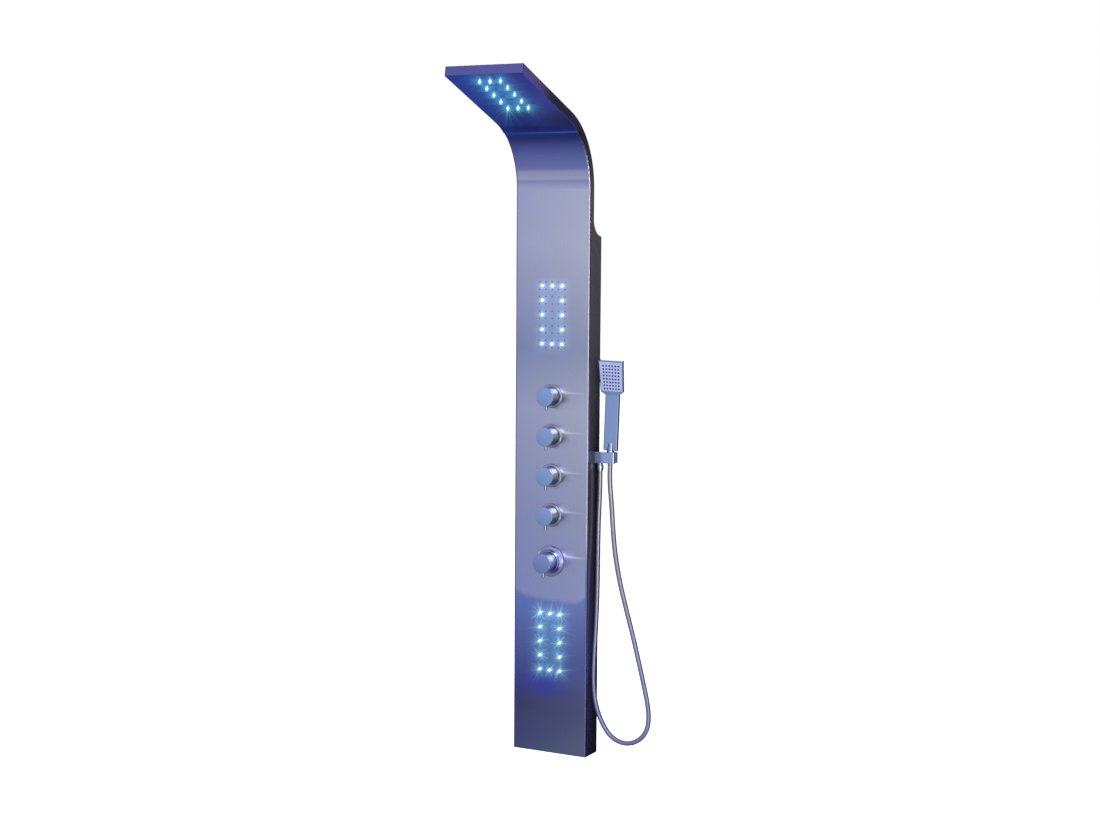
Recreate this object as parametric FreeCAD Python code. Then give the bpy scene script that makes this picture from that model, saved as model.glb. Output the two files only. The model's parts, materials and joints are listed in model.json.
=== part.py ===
import FreeCAD, Part
import os
import math

V = FreeCAD.Vector
os.makedirs("parts", exist_ok=True)

# ---------------------------------------------------------------------------
# Driving dimensions, in millimetres.
# Panel coordinates while modelling: X right, Y from the front face into the
# wall, Z up from the panel's lower edge. Everything is moved at the end so that
# the origin is the middle of the upper wall bracket's two screw holes.
# ---------------------------------------------------------------------------
W = 200.0            # panel width
T = 63.0             # depth of the box, front face to wall
TS = 1.2             # sheet thickness
NECK = 22.0          # thickness of neck and head
Z_ARC = 1382.5       # where the front starts to curve
R_ARC = 165.0        # radius of the front's curve
TURN = 69.0          # how far the front turns, degrees
L_HEAD = 251.0       # straight length of the head's underside
PHI_SEAM = 52.3      # where the head plate meets the front, degrees of the curve
NOSE_K = 0.185       # the nose leans this much per millimetre of thickness
T_NOSE = 3.0         # thickness of the nose cap
EDGE_R = 2.4         # rounding of the front's long edges
RETURN = 5.0         # depth of the front's folded returns
Z_COVE = 1311.0      # where the back starts to sweep out to the wall
COVE = T - NECK      # radius of that sweep
Z_BOX = Z_COVE - COVE
FLANGE = 13.0        # rear flange width of the side walls

ZB = 1200.0          # height of the upper wall bracket's screws
ZL = 82.0            # height of the lower wall bracket's screws
HOLE_DX = 60.0       # half spacing of the wall screws
HOLE_R = 3.0
HOOK_DX = 31.0

VALVE_Z = [883.0, 786.0, 689.0, 592.0]   # head, upper jets, lower jets, handset
MIX_Z = 478.0
VALVE_HOLE_R = 10.2
MIX_HOLE_R = 18.4

GRID_Z = [1080.0, 277.0]
GRID_S = L_HEAD - 105.0                  # head grid centre along the underside
NOZ_DX, NOZ_COLS = 17.5, 5
NOZ_DZ, NOZ_ROWS = 17.6, 10
LED_DX, LED_DZ = 27.0, 35.2
NOZ_HOLE_R = 1.9
LED_HOLE_R = 2.8

KNOB_R = 23.0
KNOB_FRONT = -35.7
KNOB_REAR = -4.3
PIN_R = 3.3
PIN_OUT = 10.0
ESC_R = 29.0
MKNOB_R = 24.0
MKNOB_FRONT = -47.0
MKNOB_REAR = -12.7
MESC_R = 38.0

HOLD_Y = 50.0        # depth of the handset's holder axis
HOLD_Z0, HOLD_Z1 = 722.5, 749.5
HOLD_X1 = 153.0
HOLD_DEPTH = 24.0
SOCKET_X = 136.3     # socket axis at mid height of the holder
LEAN = 1.9           # the handset leans this far to the right, degrees
OUT_X = 109.0        # hose outlet under the holder
HOSE_R = 6.0

INLET_DX = 75.0      # half of the usual 150 mm between hot and cold
INLET_Z = 150.0
INLET_THREAD_R = 9.3 # G1/2 female, minor radius
INLET_LEN = 12.0

RUN_R = 0.05         # radial clearance of shafts

shapes = {}


def keep(name, shape):
    shapes[name] = shape


def box(x0, x1, y0, y1, z0, z1):
    return Part.makeBox(x1 - x0, y1 - y0, z1 - z0, V(x0, y0, z0))


def cyl(p, d, r, h):
    return Part.makeCylinder(r, h, V(*p), V(*d))


def tube(p, d, r, ri, h):
    return cyl(p, d, r, h).cut(cyl(p, d, ri, h))


def fuse(first, *rest):
    s = first.fuse(list(rest)) if rest else first
    return s.removeSplitter()


def revolve(points, x, z, y_dir=V(0, 1, 0)):
    """Turned solid about the line parallel to Y through (x, z). points are (radius, y)."""
    vs = [V(r, y, 0) for r, y in points]
    w = Part.makePolygon(vs + [vs[0]])
    s = Part.Face(w).revolve(V(0, 0, 0), V(0, 1, 0), 360)
    s.translate(V(x, 0, z))
    return s


def hexagon(x, z, af, y0, y1, bore, turn=0.0):
    r = af / 2.0 / math.cos(math.radians(30))
    vs = [V(x + r * math.cos(math.radians(60 * i + turn)), y0, z + r * math.sin(math.radians(60 * i + turn))) for i in range(7)]
    s = Part.Face(Part.makePolygon(vs)).extrude(V(0, y1 - y0, 0))
    # chamfer the corners with a turned cone
    c = revolve([(0, y0), (af / 2.0 - 0.2, y0), (r + 0.1, y0 + 1.6), (r + 0.1, y1 - 1.6), (af / 2.0 - 0.2, y1), (0, y1)], x, z)
    return s.common(c).cut(cyl((x, y0 - 1, z), (0, 1, 0), bore, y1 - y0 + 2))


# --- the panel's side profile ----------------------------------------------
CY, CZ = -R_ARC, Z_ARC
ca, sa = math.cos(math.radians(TURN)), math.sin(math.radians(TURN))
T_ARC = Z_ARC                 # stations: height up to the curve, then degrees,
T_HEAD = Z_ARC + TURN         # then millimetres along the head
T_END = T_HEAD + L_HEAD
T_SEAM = Z_ARC + PHI_SEAM


def P(d, t):
    """Point (y, z) at depth d under the front face and station t."""
    if t <= T_ARC:
        return (d, t)
    if t <= T_HEAD:
        a = math.radians(t - T_ARC)
        return (CY + (R_ARC + d) * math.cos(a), CZ + (R_ARC + d) * math.sin(a))
    s = t - T_HEAD
    if s > L_HEAD - 8:
        s += NOSE_K * d
    return (CY + (R_ARC + d) * ca - s * sa, CZ + (R_ARC + d) * sa + s * ca)


def path(d, t0, t1, x):
    """Edges along depth d from station t0 to t1 (t0 < t1) in the plane X = x."""
    def v(t):
        y, z = P(d, t)
        return V(x, y, z)
    e = []
    if t0 < T_ARC:
        e.append(Part.LineSegment(v(t0), v(min(t1, T_ARC))).toShape())
    a0, a1 = max(t0, T_ARC), min(t1, T_HEAD)
    if a1 - a0 > 1e-6:
        e.append(Part.Arc(v(a0 + 1e-12), v((a0 + a1) / 2.0), v(a1)).toShape())
    if t1 > T_HEAD:
        h0 = max(t0, T_HEAD)
        e.append(Part.LineSegment(v(h0), v(t1)).toShape())
    return e


def line(a, b):
    return Part.LineSegment(V(*a), V(*b)).toShape()


def strip(d0, d1, x0, x1, t0, t1):
    """Solid between depths d0 and d1, X from x0 to x1, stations t0 to t1."""
    e = path(d0, t0, t1, x0) + path(d1, t0, t1, x0)
    for t in (t0, t1):
        a, b = P(d0, t), P(d1, t)
        e.append(line((x0, a[0], a[1]), (x0, b[0], b[1])))
    w = Part.Wire(Part.__sortEdges__(e))
    return Part.Face(w).extrude(V(x1 - x0, 0, 0))


def to_head(s):
    """A shape built at the front face's origin, moved to the head's grid."""
    s = s.copy()
    s.rotate(V(0, 0, 0), V(1, 0, 0), TURN)
    y, z = P(0, T_HEAD + GRID_S)
    s.translate(V(0, y, z))
    return s


def at_z(z):
    def put(s):
        s = s.copy()
        s.translate(V(0, 0, z))
        return s
    return put


PLACES = {"head": to_head, "upper": at_z(GRID_Z[0]), "lower": at_z(GRID_Z[1])}
NOZ = [((i - (NOZ_COLS - 1) / 2.0) * NOZ_DX, (j - (NOZ_ROWS - 1) / 2.0) * NOZ_DZ) for i in range(NOZ_COLS) for j in range(NOZ_ROWS)]
LED = [(i * LED_DX, j * LED_DZ) for i in (-1, 0, 1) for j in (-2, -1, 0, 1, 2) if abs(i) == 1 or abs(j) == 2]

holes = Part.makeCompound([cyl((x, -4, z), (0, 1, 0), NOZ_HOLE_R, 10) for x, z in NOZ] + [cyl((x, -4, z), (0, 1, 0), LED_HOLE_R, 10) for x, z in LED])

# --- front panel ------------------------------------------------------------
LIP = 0.42           # sheet thickness in degrees of the curve
front = strip(0, TS, -W / 2, W / 2, 0, T_SEAM - 0.14)
ret_r = strip(0, RETURN, W / 2 - TS, W / 2, 0, T_SEAM - 0.14)
ret_l = strip(0, RETURN, -W / 2, -W / 2 + TS, 0, T_SEAM - 0.14)
XI = W / 2 - TS - 0.15
lips = [strip(0, 7.0, a, b, T_SEAM - 0.14 - LIP, T_SEAM - 0.14) for a, b in ((-XI, -8.0), (8.0, XI))]
front = fuse(front, ret_r, ret_l)
long_edges = []
for e in front.Edges:
    bb = e.BoundBox
    if bb.XLength < 1e-6 and abs(abs(bb.XMin) - W / 2) < 1e-6:
        m = e.valueAt((e.FirstParameter + e.LastParameter) / 2.0)
        if m.z <= T_ARC and abs(m.y) < 1e-6:
            long_edges.append(e)
        elif m.z > T_ARC and abs(math.hypot(m.y - CY, m.z - CZ) - R_ARC) < 1e-4:
            long_edges.append(e)
front = front.makeFillet(EDGE_R, long_edges)
front = fuse(front, *lips)
cuts = [PLACES["upper"](holes), PLACES["lower"](holes)]
cuts += [cyl((0, -4, z), (0, 1, 0), VALVE_HOLE_R, 10) for z in VALVE_Z]
cuts.append(cyl((0, -4, MIX_Z), (0, 1, 0), MIX_HOLE_R, 10))
for c in cuts:
    front = front.cut(c)
keep("front_panel", front)

# --- head plate, with a lip at the seam --------------------------------------
T_COV = T_END - T_NOSE - 0.1
hp = strip(0, TS, -XI, XI, T_SEAM + 0.14, T_COV)
hp = fuse(hp, *[strip(0, 7.0, a, b, T_SEAM + 0.14, T_SEAM + 0.14 + LIP) for a, b in ((-XI, -8.0), (8.0, XI))])
hp = hp.cut(to_head(holes))
keep("head_face_plate", hp)

# --- nose cap ------------------------------------------------------------------
nose = strip(0, NECK, -W / 2, W / 2, T_END - T_NOSE, T_END)
ne = []
for e in nose.Edges:
    ms = [v.Point for v in e.Vertexes]
    y0, z0 = P(0, T_END)
    y1, z1 = P(NECK, T_END)
    on = True
    for p in ms:
        dd = abs((p.y - y0) * (z1 - z0) - (p.z - z0) * (y1 - y0)) / math.hypot(y1 - y0, z1 - z0)
        on = on and dd < 1e-4
    if on:
        ne.append(e)
nose = nose.makeFillet(1.1, ne)
keep("nose_cap", nose)

# --- back of neck and head, sweeping out to the wall ------------------------------
rc = strip(NECK - TS, NECK, -XI, XI, Z_COVE, T_COV)
sw = Part.makeCylinder(COVE + TS, 2 * XI, V(-XI, T, Z_COVE), V(1, 0, 0)).cut(Part.makeCylinder(COVE, 2 * XI, V(-XI, T, Z_COVE), V(1, 0, 0)))
sw = sw.common(box(-XI, XI, NECK - TS - 1, T, Z_BOX - TS - 1, Z_COVE))
fl = box(-XI, XI, T - TS, T, Z_BOX - 16.0, Z_BOX)
rc = fuse(rc, sw, fl)
keep("rear_cover", rc)

# --- side walls ---------------------------------------------------------------------
def side_wall(x0):
    d = RETURN + 0.15
    e = path(d, 0, T_SEAM + 0.05, x0)
    a, b = P(d, T_SEAM + 0.05), P(0, T_SEAM + 0.05)
    e.append(line((x0, a[0], a[1]), (x0, b[0], b[1])))
    e += path(0, T_SEAM + 0.05, T_COV, x0)
    a, b = P(0, T_COV), P(NECK, T_COV)
    e.append(line((x0, a[0], a[1]), (x0, b[0], b[1])))
    e += path(NECK, Z_COVE, T_COV, x0)
    c45 = COVE * math.cos(math.radians(45))
    e.append(Part.Arc(V(x0, NECK, Z_COVE), V(x0, T - c45, Z_COVE - c45), V(x0, T, Z_BOX)).toShape())
    e.append(line((x0, T, Z_BOX), (x0, T, 0)))
    e.append(line((x0, T, 0), (x0, d, 0)))
    w = Part.Wire(Part.__sortEdges__(e))
    return Part.Face(w).extrude(V(TS, 0, 0))


sl = fuse(side_wall(-W / 2), box(-W / 2, -W / 2 + FLANGE, T - TS, T, 14.0, Z_BOX - 16.2))
sr = fuse(side_wall(W / 2 - TS), box(W / 2 - FLANGE, W / 2, T - TS, T, 14.0, Z_BOX - 16.2))
sr = sr.cut(cyl((W / 2 - 5, HOLD_Y, (HOLD_Z0 + HOLD_Z1) / 2.0), (1, 0, 0), 8.2, 10))
keep("left_side_wall", sl)
keep("right_side_wall", sr)

# --- bottom cap -------------------------------------------------------------------------
bc = box(-XI, XI, TS + 0.05, T, 0.0, TS)
bc = fuse(bc, box(-XI, XI, TS + 0.05, 2 * TS, 0.0, 12.0), box(-XI, XI, T - TS, T, 0.0, 13.8))
drain = [cyl((x, 34.0, -1), (0, 0, 1), 3.0, 4) for x in (-40.0, 40.0)]
for c in drain:
    bc = bc.cut(c)
keep("bottom_cap", bc)


# --- hanging: rails in the panel, brackets on the wall --------------------------------------
def rail(z):
    r = box(-XI, XI, 57.3, 59.3, z - 20, z + 20)
    r = fuse(r, box(-XI, -XI + 2, 44.0, 59.3, z - 20, z + 20), box(XI - 2, XI, 44.0, 59.3, z - 20, z + 20))
    for s in (-1, 1):
        r = r.cut(box(s * HOOK_DX - 11, s * HOOK_DX + 11, 50, 60, z - 15, z))
        r = r.cut(cyl((s * HOLE_DX, 50, z), (0, 1, 0), 8.0, 12))
    return r


def bracket(z):
    b = box(-78, 78, 60.5, T, z - 16, z + 16)
    for s in (-1, 1):
        b = b.fuse(box(s * HOOK_DX - 8, s * HOOK_DX + 8, 54.5, 60.6, z - 2.5, z))
        b = b.fuse(box(s * HOOK_DX - 8, s * HOOK_DX + 8, 54.5, 56.5, z - 2.5, z + 8))
        b = b.cut(cyl((s * HOLE_DX, 50, z), (0, 1, 0), HOLE_R, 20))
    return b.removeSplitter()


keep("upper_hanger_rail", rail(ZB))
keep("lower_hanger_rail", rail(ZL))
keep("upper_wall_bracket", bracket(ZB))
keep("lower_wall_bracket", bracket(ZL))


# --- the three spray units ---------------------------------------------------------------------
CH_X, CH_Z = 44.0, 92.0
Y_MAT0, Y_MAT1 = TS + 0.05, 3.2
Y_CH1 = 14.0
Y_BD0, Y_BD1 = 14.1, 15.7


def nozzle_mat():
    m = box(-CH_X, CH_X, Y_MAT0, Y_MAT1, -CH_Z, CH_Z)
    nubs = []
    for x, z in NOZ:
        nubs.append(revolve([(0, Y_MAT1 - 0.3), (1.8, Y_MAT1 - 0.3), (1.8, 0.0), (1.35, -1.4), (0, -1.4)], x, z))
    m = m.fuse(nubs)
    m = m.cut(Part.makeCompound([cyl((x, -2, z), (0, 1, 0), 0.6, 8) for x, z in NOZ]))
    m = m.cut(Part.makeCompound([cyl((x, 0, z), (0, 1, 0), 4.0, 5) for x, z in LED]))
    return m


def chamber(kind):
    c = box(-CH_X, CH_X, Y_MAT1, Y_CH1, -CH_Z, CH_Z)
    c = c.cut(box(-CH_X + 2, CH_X - 2, Y_MAT1 - 1, Y_CH1 - 2, -CH_Z + 2, CH_Z - 2))
    c = c.fuse([cyl((x, Y_MAT0, z), (0, 1, 0), 3.95, Y_CH1 - Y_MAT0) for x, z in LED])
    c = c.cut(Part.makeCompound([cyl((x, 0, z), (0, 1, 0), 2.75, 20) for x, z in LED]))
    if kind == "end":
        c = c.fuse(tube((0, 8.2, -CH_Z - 14), (0, 0, 1), 4.3, 2.8, 15.0))
        c = c.cut(cyl((0, 8.2, -CH_Z - 15), (0, 0, 1), 2.8, 20))
    else:
        c = c.fuse(box(-23, -8, Y_CH1 - 0.5, 45, -9, 9))
        c = c.fuse(cyl((-38, 37, 0), (1, 0, 0), 5.0, 18))
        c = c.cut(cyl((-15, 8, 0), (0, 1, 0), 4.0, 33))
        c = c.cut(cyl((-39, 37, 0), (1, 0, 0), 3.3, 24))
    return c.removeSplitter()


def lenses():
    out = []
    for x, z in LED:
        out.append(revolve([(0, Y_CH1 + 0.05), (2.6, Y_CH1 + 0.05), (2.6, -0.2), (2.45, -0.8), (2.05, -1.35), (1.4, -1.8), (0.7, -2.02), (0, -2.1)], x, z))
    return Part.makeCompound(out)


def board(kind):
    b = box(-36, 36, Y_BD0, Y_BD1, -80, 80)
    if kind == "rear":
        b = b.cut(box(-24.2, -6, 10, 20, -11, 11))
    # driver chip and resistors on the rear face
    b = b.fuse([box(8, 18, Y_BD1 - 0.2, Y_BD1 + 1.2, -6, 6)] + [box(x - 2.2, x + 2.2, Y_BD1 - 0.2, Y_BD1 + 0.6, z - 1.2, z + 1.2) for x in (-20.0, 20.0) for z in (-60.0, -40.0, 40.0, 60.0)])
    return b


mat = nozzle_mat()
ch_rear, ch_end = chamber("rear"), chamber("end")
lens_all, boards = [], []
for key, put in PLACES.items():
    keep(key + "_nozzle_mat", put(mat))
    keep(key + "_spray_chamber", put(ch_end if key == "head" else ch_rear))
    lens_all += put(lenses()).Solids
    boards.append(put(board("end" if key == "head" else "rear")))
keep("led_lenses", Part.makeCompound(lens_all))
keep("led_boards", Part.makeCompound(boards))


# --- valves --------------------------------------------------------------------------------------
man = box(-16, 16, 20, 52, 562, 914)
adds, cut_list = [], []
for z in VALVE_Z:
    adds.append(cyl((0, TS + 0.05, z), (0, 1, 0), 15.0, 20))
    cut_list.append(cyl((0, 0, z), (0, 1, 0), 10.0, 46.5))
for z, sx in ((VALVE_Z[1], -1), (VALVE_Z[2], -1), (VALVE_Z[3], 1)):
    adds.append(cyl((sx * 15.5, 37, z), (sx, 0, 0), 8.0, 4.5))
    adds.append(cyl((sx * 15.5, 37, z), (sx, 0, 0), 5.0, 18.5))
    cut_list.append(cyl((0, 37, z), (sx, 0, 0), 3.5, 40))
adds.append(cyl((0, 37, 913.5), (0, 0, 1), 8.0, 4.5))
adds.append(cyl((0, 37, 913.5), (0, 0, 1), 5.0, 18.5))
cut_list.append(cyl((0, 37, VALVE_Z[0]), (0, 0, 1), 3.5, 60))
cut_list.append(cyl((0, 45, 561), (0, 0, 1), 4.5, VALVE_Z[0] - 561))
cut_list.append(cyl((0, 37, 561), (0, 0, 1), 6.0, 12))
man = man.fuse(adds)
for c in cut_list:
    man = man.cut(c)
man = man.removeSplitter()
keep("valve_manifold", man)


def cartridge(z, port):
    c = revolve([(4.0 + RUN_R, -8.5), (8.9, -8.5), (9.9, -7.5), (9.9, 46.0), (7.6, 46.0), (7.6, 39.0), (4.0 + RUN_R, 39.0)], 0, z)
    return c.cut(cyl((0, 37, z), port, 3.4, 12))


keep("valve_cartridges", Part.makeCompound([
    cartridge(VALVE_Z[0], (0, 0, 1)), cartridge(VALVE_Z[1], (-1, 0, 0)),
    cartridge(VALVE_Z[2], (-1, 0, 0)), cartridge(VALVE_Z[3], (1, 0, 0))]))
keep("valve_escutcheons", Part.makeCompound([
    revolve([(10.05, 0), (ESC_R, 0), (ESC_R, -1.0), (ESC_R - 0.5, -1.9), (ESC_R - 1.6, -2.6), (24.0, -3.3), (10.05, -3.3)], 0, z) for z in VALVE_Z]))
keep("cartridge_nuts", Part.makeCompound([hexagon(0, z, 30.0, -7.4, -3.35, 9.95, 30) for z in VALVE_Z]))

for i, z in enumerate(VALVE_Z):
    n = str(i + 1)
    f, r = KNOB_FRONT, KNOB_REAR
    k = revolve([(0, f), (KNOB_R - 0.9, f), (KNOB_R - 0.26, f + 0.26), (KNOB_R, f + 0.9), (KNOB_R, r - 0.6), (KNOB_R - 0.6, r),
                 (20.6, r), (20.6, f + 5), (8, f + 5), (8, -13.5), (4.0, -13.5), (4.0, -31.6), (0, -31.6)], 0, z)
    k = k.cut(cyl((0, -27.0, z - 18), (0, 0, -1), PIN_R, 8))
    keep("knob_" + n, k)
    p = cyl((0, -27.0, z - 20.0), (0, 0, -1), PIN_R, KNOB_R + PIN_OUT - 20.0)
    pe = [e for e in p.Edges if abs(e.BoundBox.ZMin - (z - KNOB_R - PIN_OUT)) < 1e-4 and e.BoundBox.ZLength < 1e-4]
    keep("knob_pin_" + n, p.makeFillet(0.9, pe))
    s = revolve([(0, -31.5), (3.98, -31.5), (3.98, -13.5), (4.0, -13.4), (4.0, 39.2), (7.5, 39.2), (7.5, 43.0), (0, 43.0)], 0, z)
    s = s.cut(box(2.2, 9, 40.2, 44, z - 3, z + 3))
    keep("spindle_" + n, s)

# --- mixer ------------------------------------------------------------------------------------------
mx = box(-30, 30, 16, 52, MIX_Z - 30, MIX_Z + 26)
mx = mx.fuse([cyl((0, TS + 0.05, MIX_Z), (0, 1, 0), 23.0, 18),
              cyl((-44, 34, MIX_Z), (1, 0, 0), 5.0, 88),
              cyl((-35, 34, MIX_Z), (1, 0, 0), 9.0, 70)])
mx = mx.cut(cyl((0, 0, MIX_Z), (0, 1, 0), 18.0, 44.0))
mx = mx.cut(cyl((-45, 34, MIX_Z), (1, 0, 0), 3.6, 90))
mx = mx.cut(cyl((0, 34, MIX_Z), (0, 0, 1), 6.0, 40))
mx = mx.removeSplitter()
keep("mixer_body", mx)
mc = revolve([(6.0 + RUN_R, -13.4), (16.6, -13.4), (17.9, -12.1), (17.9, 44.0), (14.1, 44.0), (14.1, 33.9), (6.0 + RUN_R, 33.9)], 0, MIX_Z)
keep("mixer_cartridge", mc)
me = revolve([(18.1, -12.1), (26.4, -12.1), (27.4, -11.6), (28.2, -10.4), (29.0, -7.6), (30.6, -5.9), (33.2, -4.9), (36.5, -3.9), (37.6, -3.0),
              (MESC_R, -1.6), (MESC_R, 0), (35.5, 0), (35.5, -1.8), (30.0, -3.2), (27.2, -5.2), (26.9, -9.9), (18.1, -9.9)], 0, MIX_Z)
keep("mixer_escutcheon", me)
keep("mixer_nut", hexagon(0, MIX_Z, 44.0, -7.5, 0.0, 17.95, 30))
f, r = MKNOB_FRONT, MKNOB_REAR
mk = revolve([(0, f), (MKNOB_R - 1.2, f), (MKNOB_R - 0.35, f + 0.35), (MKNOB_R, f + 1.2), (MKNOB_R, r - 0.6), (MKNOB_R - 0.6, r),
              (21.0, r), (21.0, f + 5), (11, f + 5), (11, -18.0), (6.0, -18.0), (6.0, -40.1), (0, -40.1)], 0, MIX_Z)
mk = mk.cut(cyl((0, -36.5, MIX_Z - 18), (0, 0, -1), PIN_R, 8))
keep("mixer_knob", mk)
p = cyl((0, -36.5, MIX_Z - 20.4), (0, 0, -1), PIN_R, MKNOB_R + PIN_OUT - 20.4)
pe = [e for e in p.Edges if abs(e.BoundBox.ZMin - (MIX_Z - MKNOB_R - PIN_OUT)) < 1e-4 and e.BoundBox.ZLength < 1e-4]
keep("mixer_pin", p.makeFillet(0.9, pe))
ms = revolve([(0, -40.0), (5.98, -40.0), (5.98, -18.0), (6.0, -17.9), (6.0, 34.1), (14.0, 34.1), (14.0, 40.0), (0, 40.0)], 0, MIX_Z)
for a in (60, 180, 300):
    ms = ms.cut(cyl((9.5 * math.cos(math.radians(a)), 35.5, MIX_Z + 9.5 * math.sin(math.radians(a))), (0, 1, 0), 2.6, 6))
keep("mixer_spindle", ms)

# --- water-driven generator between mixer and manifold ---------------------------------------------------
GZ, GY = 533.0, 34.0
gh = cyl((0, 20, GZ), (0, 1, 0), 19.0, 26)
gh = gh.fuse([cyl((0, GY, MIX_Z + 26), (0, 0, 1), 9.0, 30), cyl((0, GY + 3, 544), (0, 0, 1), 9.0, 18)])
gh = gh.cut(cyl((0, 23, GZ), (0, 1, 0), 16.0, 24))
gh = gh.cut(cyl((0, GY, MIX_Z + 25), (0, 0, 1), 5.5, 20)).cut(cyl((0, GY + 3, 540), (0, 0, 1), 5.5, 23))
gh = gh.cut(cyl((0, 23, GZ), (0, 1, 0), 16.0, 24))
gh = gh.fuse(cyl((0, 22.5, GZ), (0, 1, 0), 1.5, 19.0)).removeSplitter()
keep("generator_housing", gh)
gc = cyl((0, 46, GZ), (0, 1, 0), 19.0, 3.0).fuse([tube((0, 42, GZ), (0, 1, 0), 15.9, 12.0, 4.2), cyl((0, 42.5, GZ), (0, 1, 0), 3.0, 4.0), box(-5, 5, 48.8, 52.0, GZ - 5, GZ + 5)])
gc = gc.cut(cyl((0, 40, GZ), (0, 1, 0), 1.55, 2.7))
keep("generator_cover", gc.removeSplitter())
rot = cyl((0, 25, GZ), (0, 1, 0), 5.0, 15)
blades = []
for i in range(8):
    b = box(-0.7, 0.7, 25.5, 39.5, 4.0, 14.6)
    b.rotate(V(0, 0, 0), V(0, 1, 0), 45 * i)
    b.translate(V(0, 0, GZ))
    blades.append(b)
rot = rot.fuse(blades).cut(cyl((0, 20, GZ), (0, 1, 0), 1.5 + RUN_R, 30)).removeSplitter()
keep("generator_rotor", rot)


# --- pipes and cables inside ---------------------------------------------------------------------------------
def rounded(pts, radii):
    """A wire of straight runs joined by tangent arcs. Returns (wire, length, arc radii)."""
    pts = [V(*p) for p in pts]
    if not isinstance(radii, (list, tuple)):
        radii = [radii] * (len(pts) - 2)
    edges, used, length = [], [], 0.0
    last = pts[0]
    for i in range(1, len(pts) - 1):
        a, b, c = pts[i - 1], pts[i], pts[i + 1]
        u, v = (b - a), (c - b)
        lu, lv = u.Length, v.Length
        u = u * (1.0 / lu)
        v = v * (1.0 / lv)
        turn = math.acos(max(-1.0, min(1.0, u.dot(v))))
        half = math.tan(turn / 2.0)
        r = radii[i - 1] if radii[i - 1] else 0.45 * min(lu, lv) / half
        t = r * half
        p0, p1 = b - u * t, b + v * t
        bis = (v - u)
        bis = bis * (1.0 / bis.Length)
        centre = b + bis * (r / math.cos(turn / 2.0))
        mid = centre - bis * r
        if (p0 - last).Length > 1e-6:
            edges.append(Part.LineSegment(last, p0).toShape())
            length += (p0 - last).Length
        edges.append(Part.Arc(p0, mid, p1).toShape())
        length += r * turn
        used.append(r)
        last = p1
    edges.append(Part.LineSegment(last, pts[-1]).toShape())
    length += (pts[-1] - last).Length
    return Part.Wire(edges), length, used


def pipe(pts, radii, r, ri=None, name=""):
    w, length, used = rounded(pts, radii)
    def sweep(rr):
        a, b = V(*pts[0]), V(*pts[1])
        c = Part.Wire(Part.makeCircle(rr, a, b - a))
        return w.makePipeShell([c], True, False)
    s = sweep(r)
    if ri:
        s = s.cut(sweep(ri))
    area = math.pi * (r * r - (ri * ri if ri else 0.0))
    print("%s length %.1f mm, volume %.4f of section x length, smallest radius %.1f, solids %d, valid %s"
          % (name, length, s.Volume / (area * length), min(used), len(s.Solids), s.isValid()))
    return s, length, used


RI, RO = 5.03, 6.6


def head_route(d, x, t_end, start):
    """A run that goes up, steps into the neck at depth d, and follows it."""
    pts = [start, (x, start[1], 1232.0), (x, d, 1300.0), (x, d, Z_ARC)]
    w, l, u = rounded(pts, [50.0, 50.0])
    es = list(w.Edges)
    yc = [P(d, T_ARC + TURN * k / 2.0) for k in (0, 1, 2)]
    es.append(Part.Arc(V(x, *yc[0]), V(x, *yc[1]), V(x, *yc[2])).toShape())
    l += (R_ARC + d) * math.radians(TURN)
    ye = P(d, t_end)
    es.append(Part.LineSegment(V(x, *yc[2]), V(x, *ye)).toShape())
    l += t_end - T_HEAD
    return Part.Wire(es), l


def sweep_wire(w, start, direction, r):
    c = Part.Wire(Part.makeCircle(r, V(*start), V(*direction)))
    return w.makePipeShell([c], True, False)


hs0 = (0, 37, 918.1)
hw, hl = head_route(8.2, 0, T_HEAD + GRID_S - CH_Z - 0.5, hs0)
hs = sweep_wire(hw, hs0, (0, 0, 1), 6.0).cut(sweep_wire(hw, hs0, (0, 0, 1), 5.03))
# the hose's end fits a smaller spigot: a moulded sleeve fills the step
e0 = P(8.2, T_HEAD + GRID_S - CH_Z - 14.0)
sleeve = Part.makeCylinder(5.03, 13.5, V(0, *e0), V(0, -sa, ca)).cut(Part.makeCylinder(4.33, 13.5, V(0, *e0), V(0, -sa, ca)))
hs = hs.fuse(sleeve).removeSplitter()
print("head_supply_hose length %.1f mm, volume ratio %.4f, valid %s" % (hl, hs.Volume / (math.pi * (36.0 - 5.03 ** 2) * hl), hs.isValid()))
keep("head_supply_hose", hs)

j1, _, _ = pipe([(-20.1, 37, VALVE_Z[1]), (-58, 37, VALVE_Z[1]), (-58, 37, GRID_Z[0]), (-23.05, 37, GRID_Z[0])], [19.0, 19.0], RO, RI, "upper jet hose")
j2, _, _ = pipe([(-20.1, 37, VALVE_Z[2]), (-54, 37, VALVE_Z[2]), (-54, 49, 600), (-54, 49, 370), (-54, 37, GRID_Z[1]), (-23.05, 37, GRID_Z[1])], [17.0, 90.0, 90.0, 15.0], 6.0, RI, "lower jet hose")
keep("jet_supply_hoses", Part.makeCompound([j1, j2]))
h4, _, _ = pipe([(20.1, 37, VALVE_Z[3]), (52, 37, VALVE_Z[3]), (52, HOLD_Y, (HOLD_Z0 + HOLD_Z1) / 2.0), (79.9, HOLD_Y, (HOLD_Z0 + HOLD_Z1) / 2.0)], [16.0, 16.0], 6.0, RI, "handset supply hose")
keep("handset_supply_hose", h4)

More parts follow.
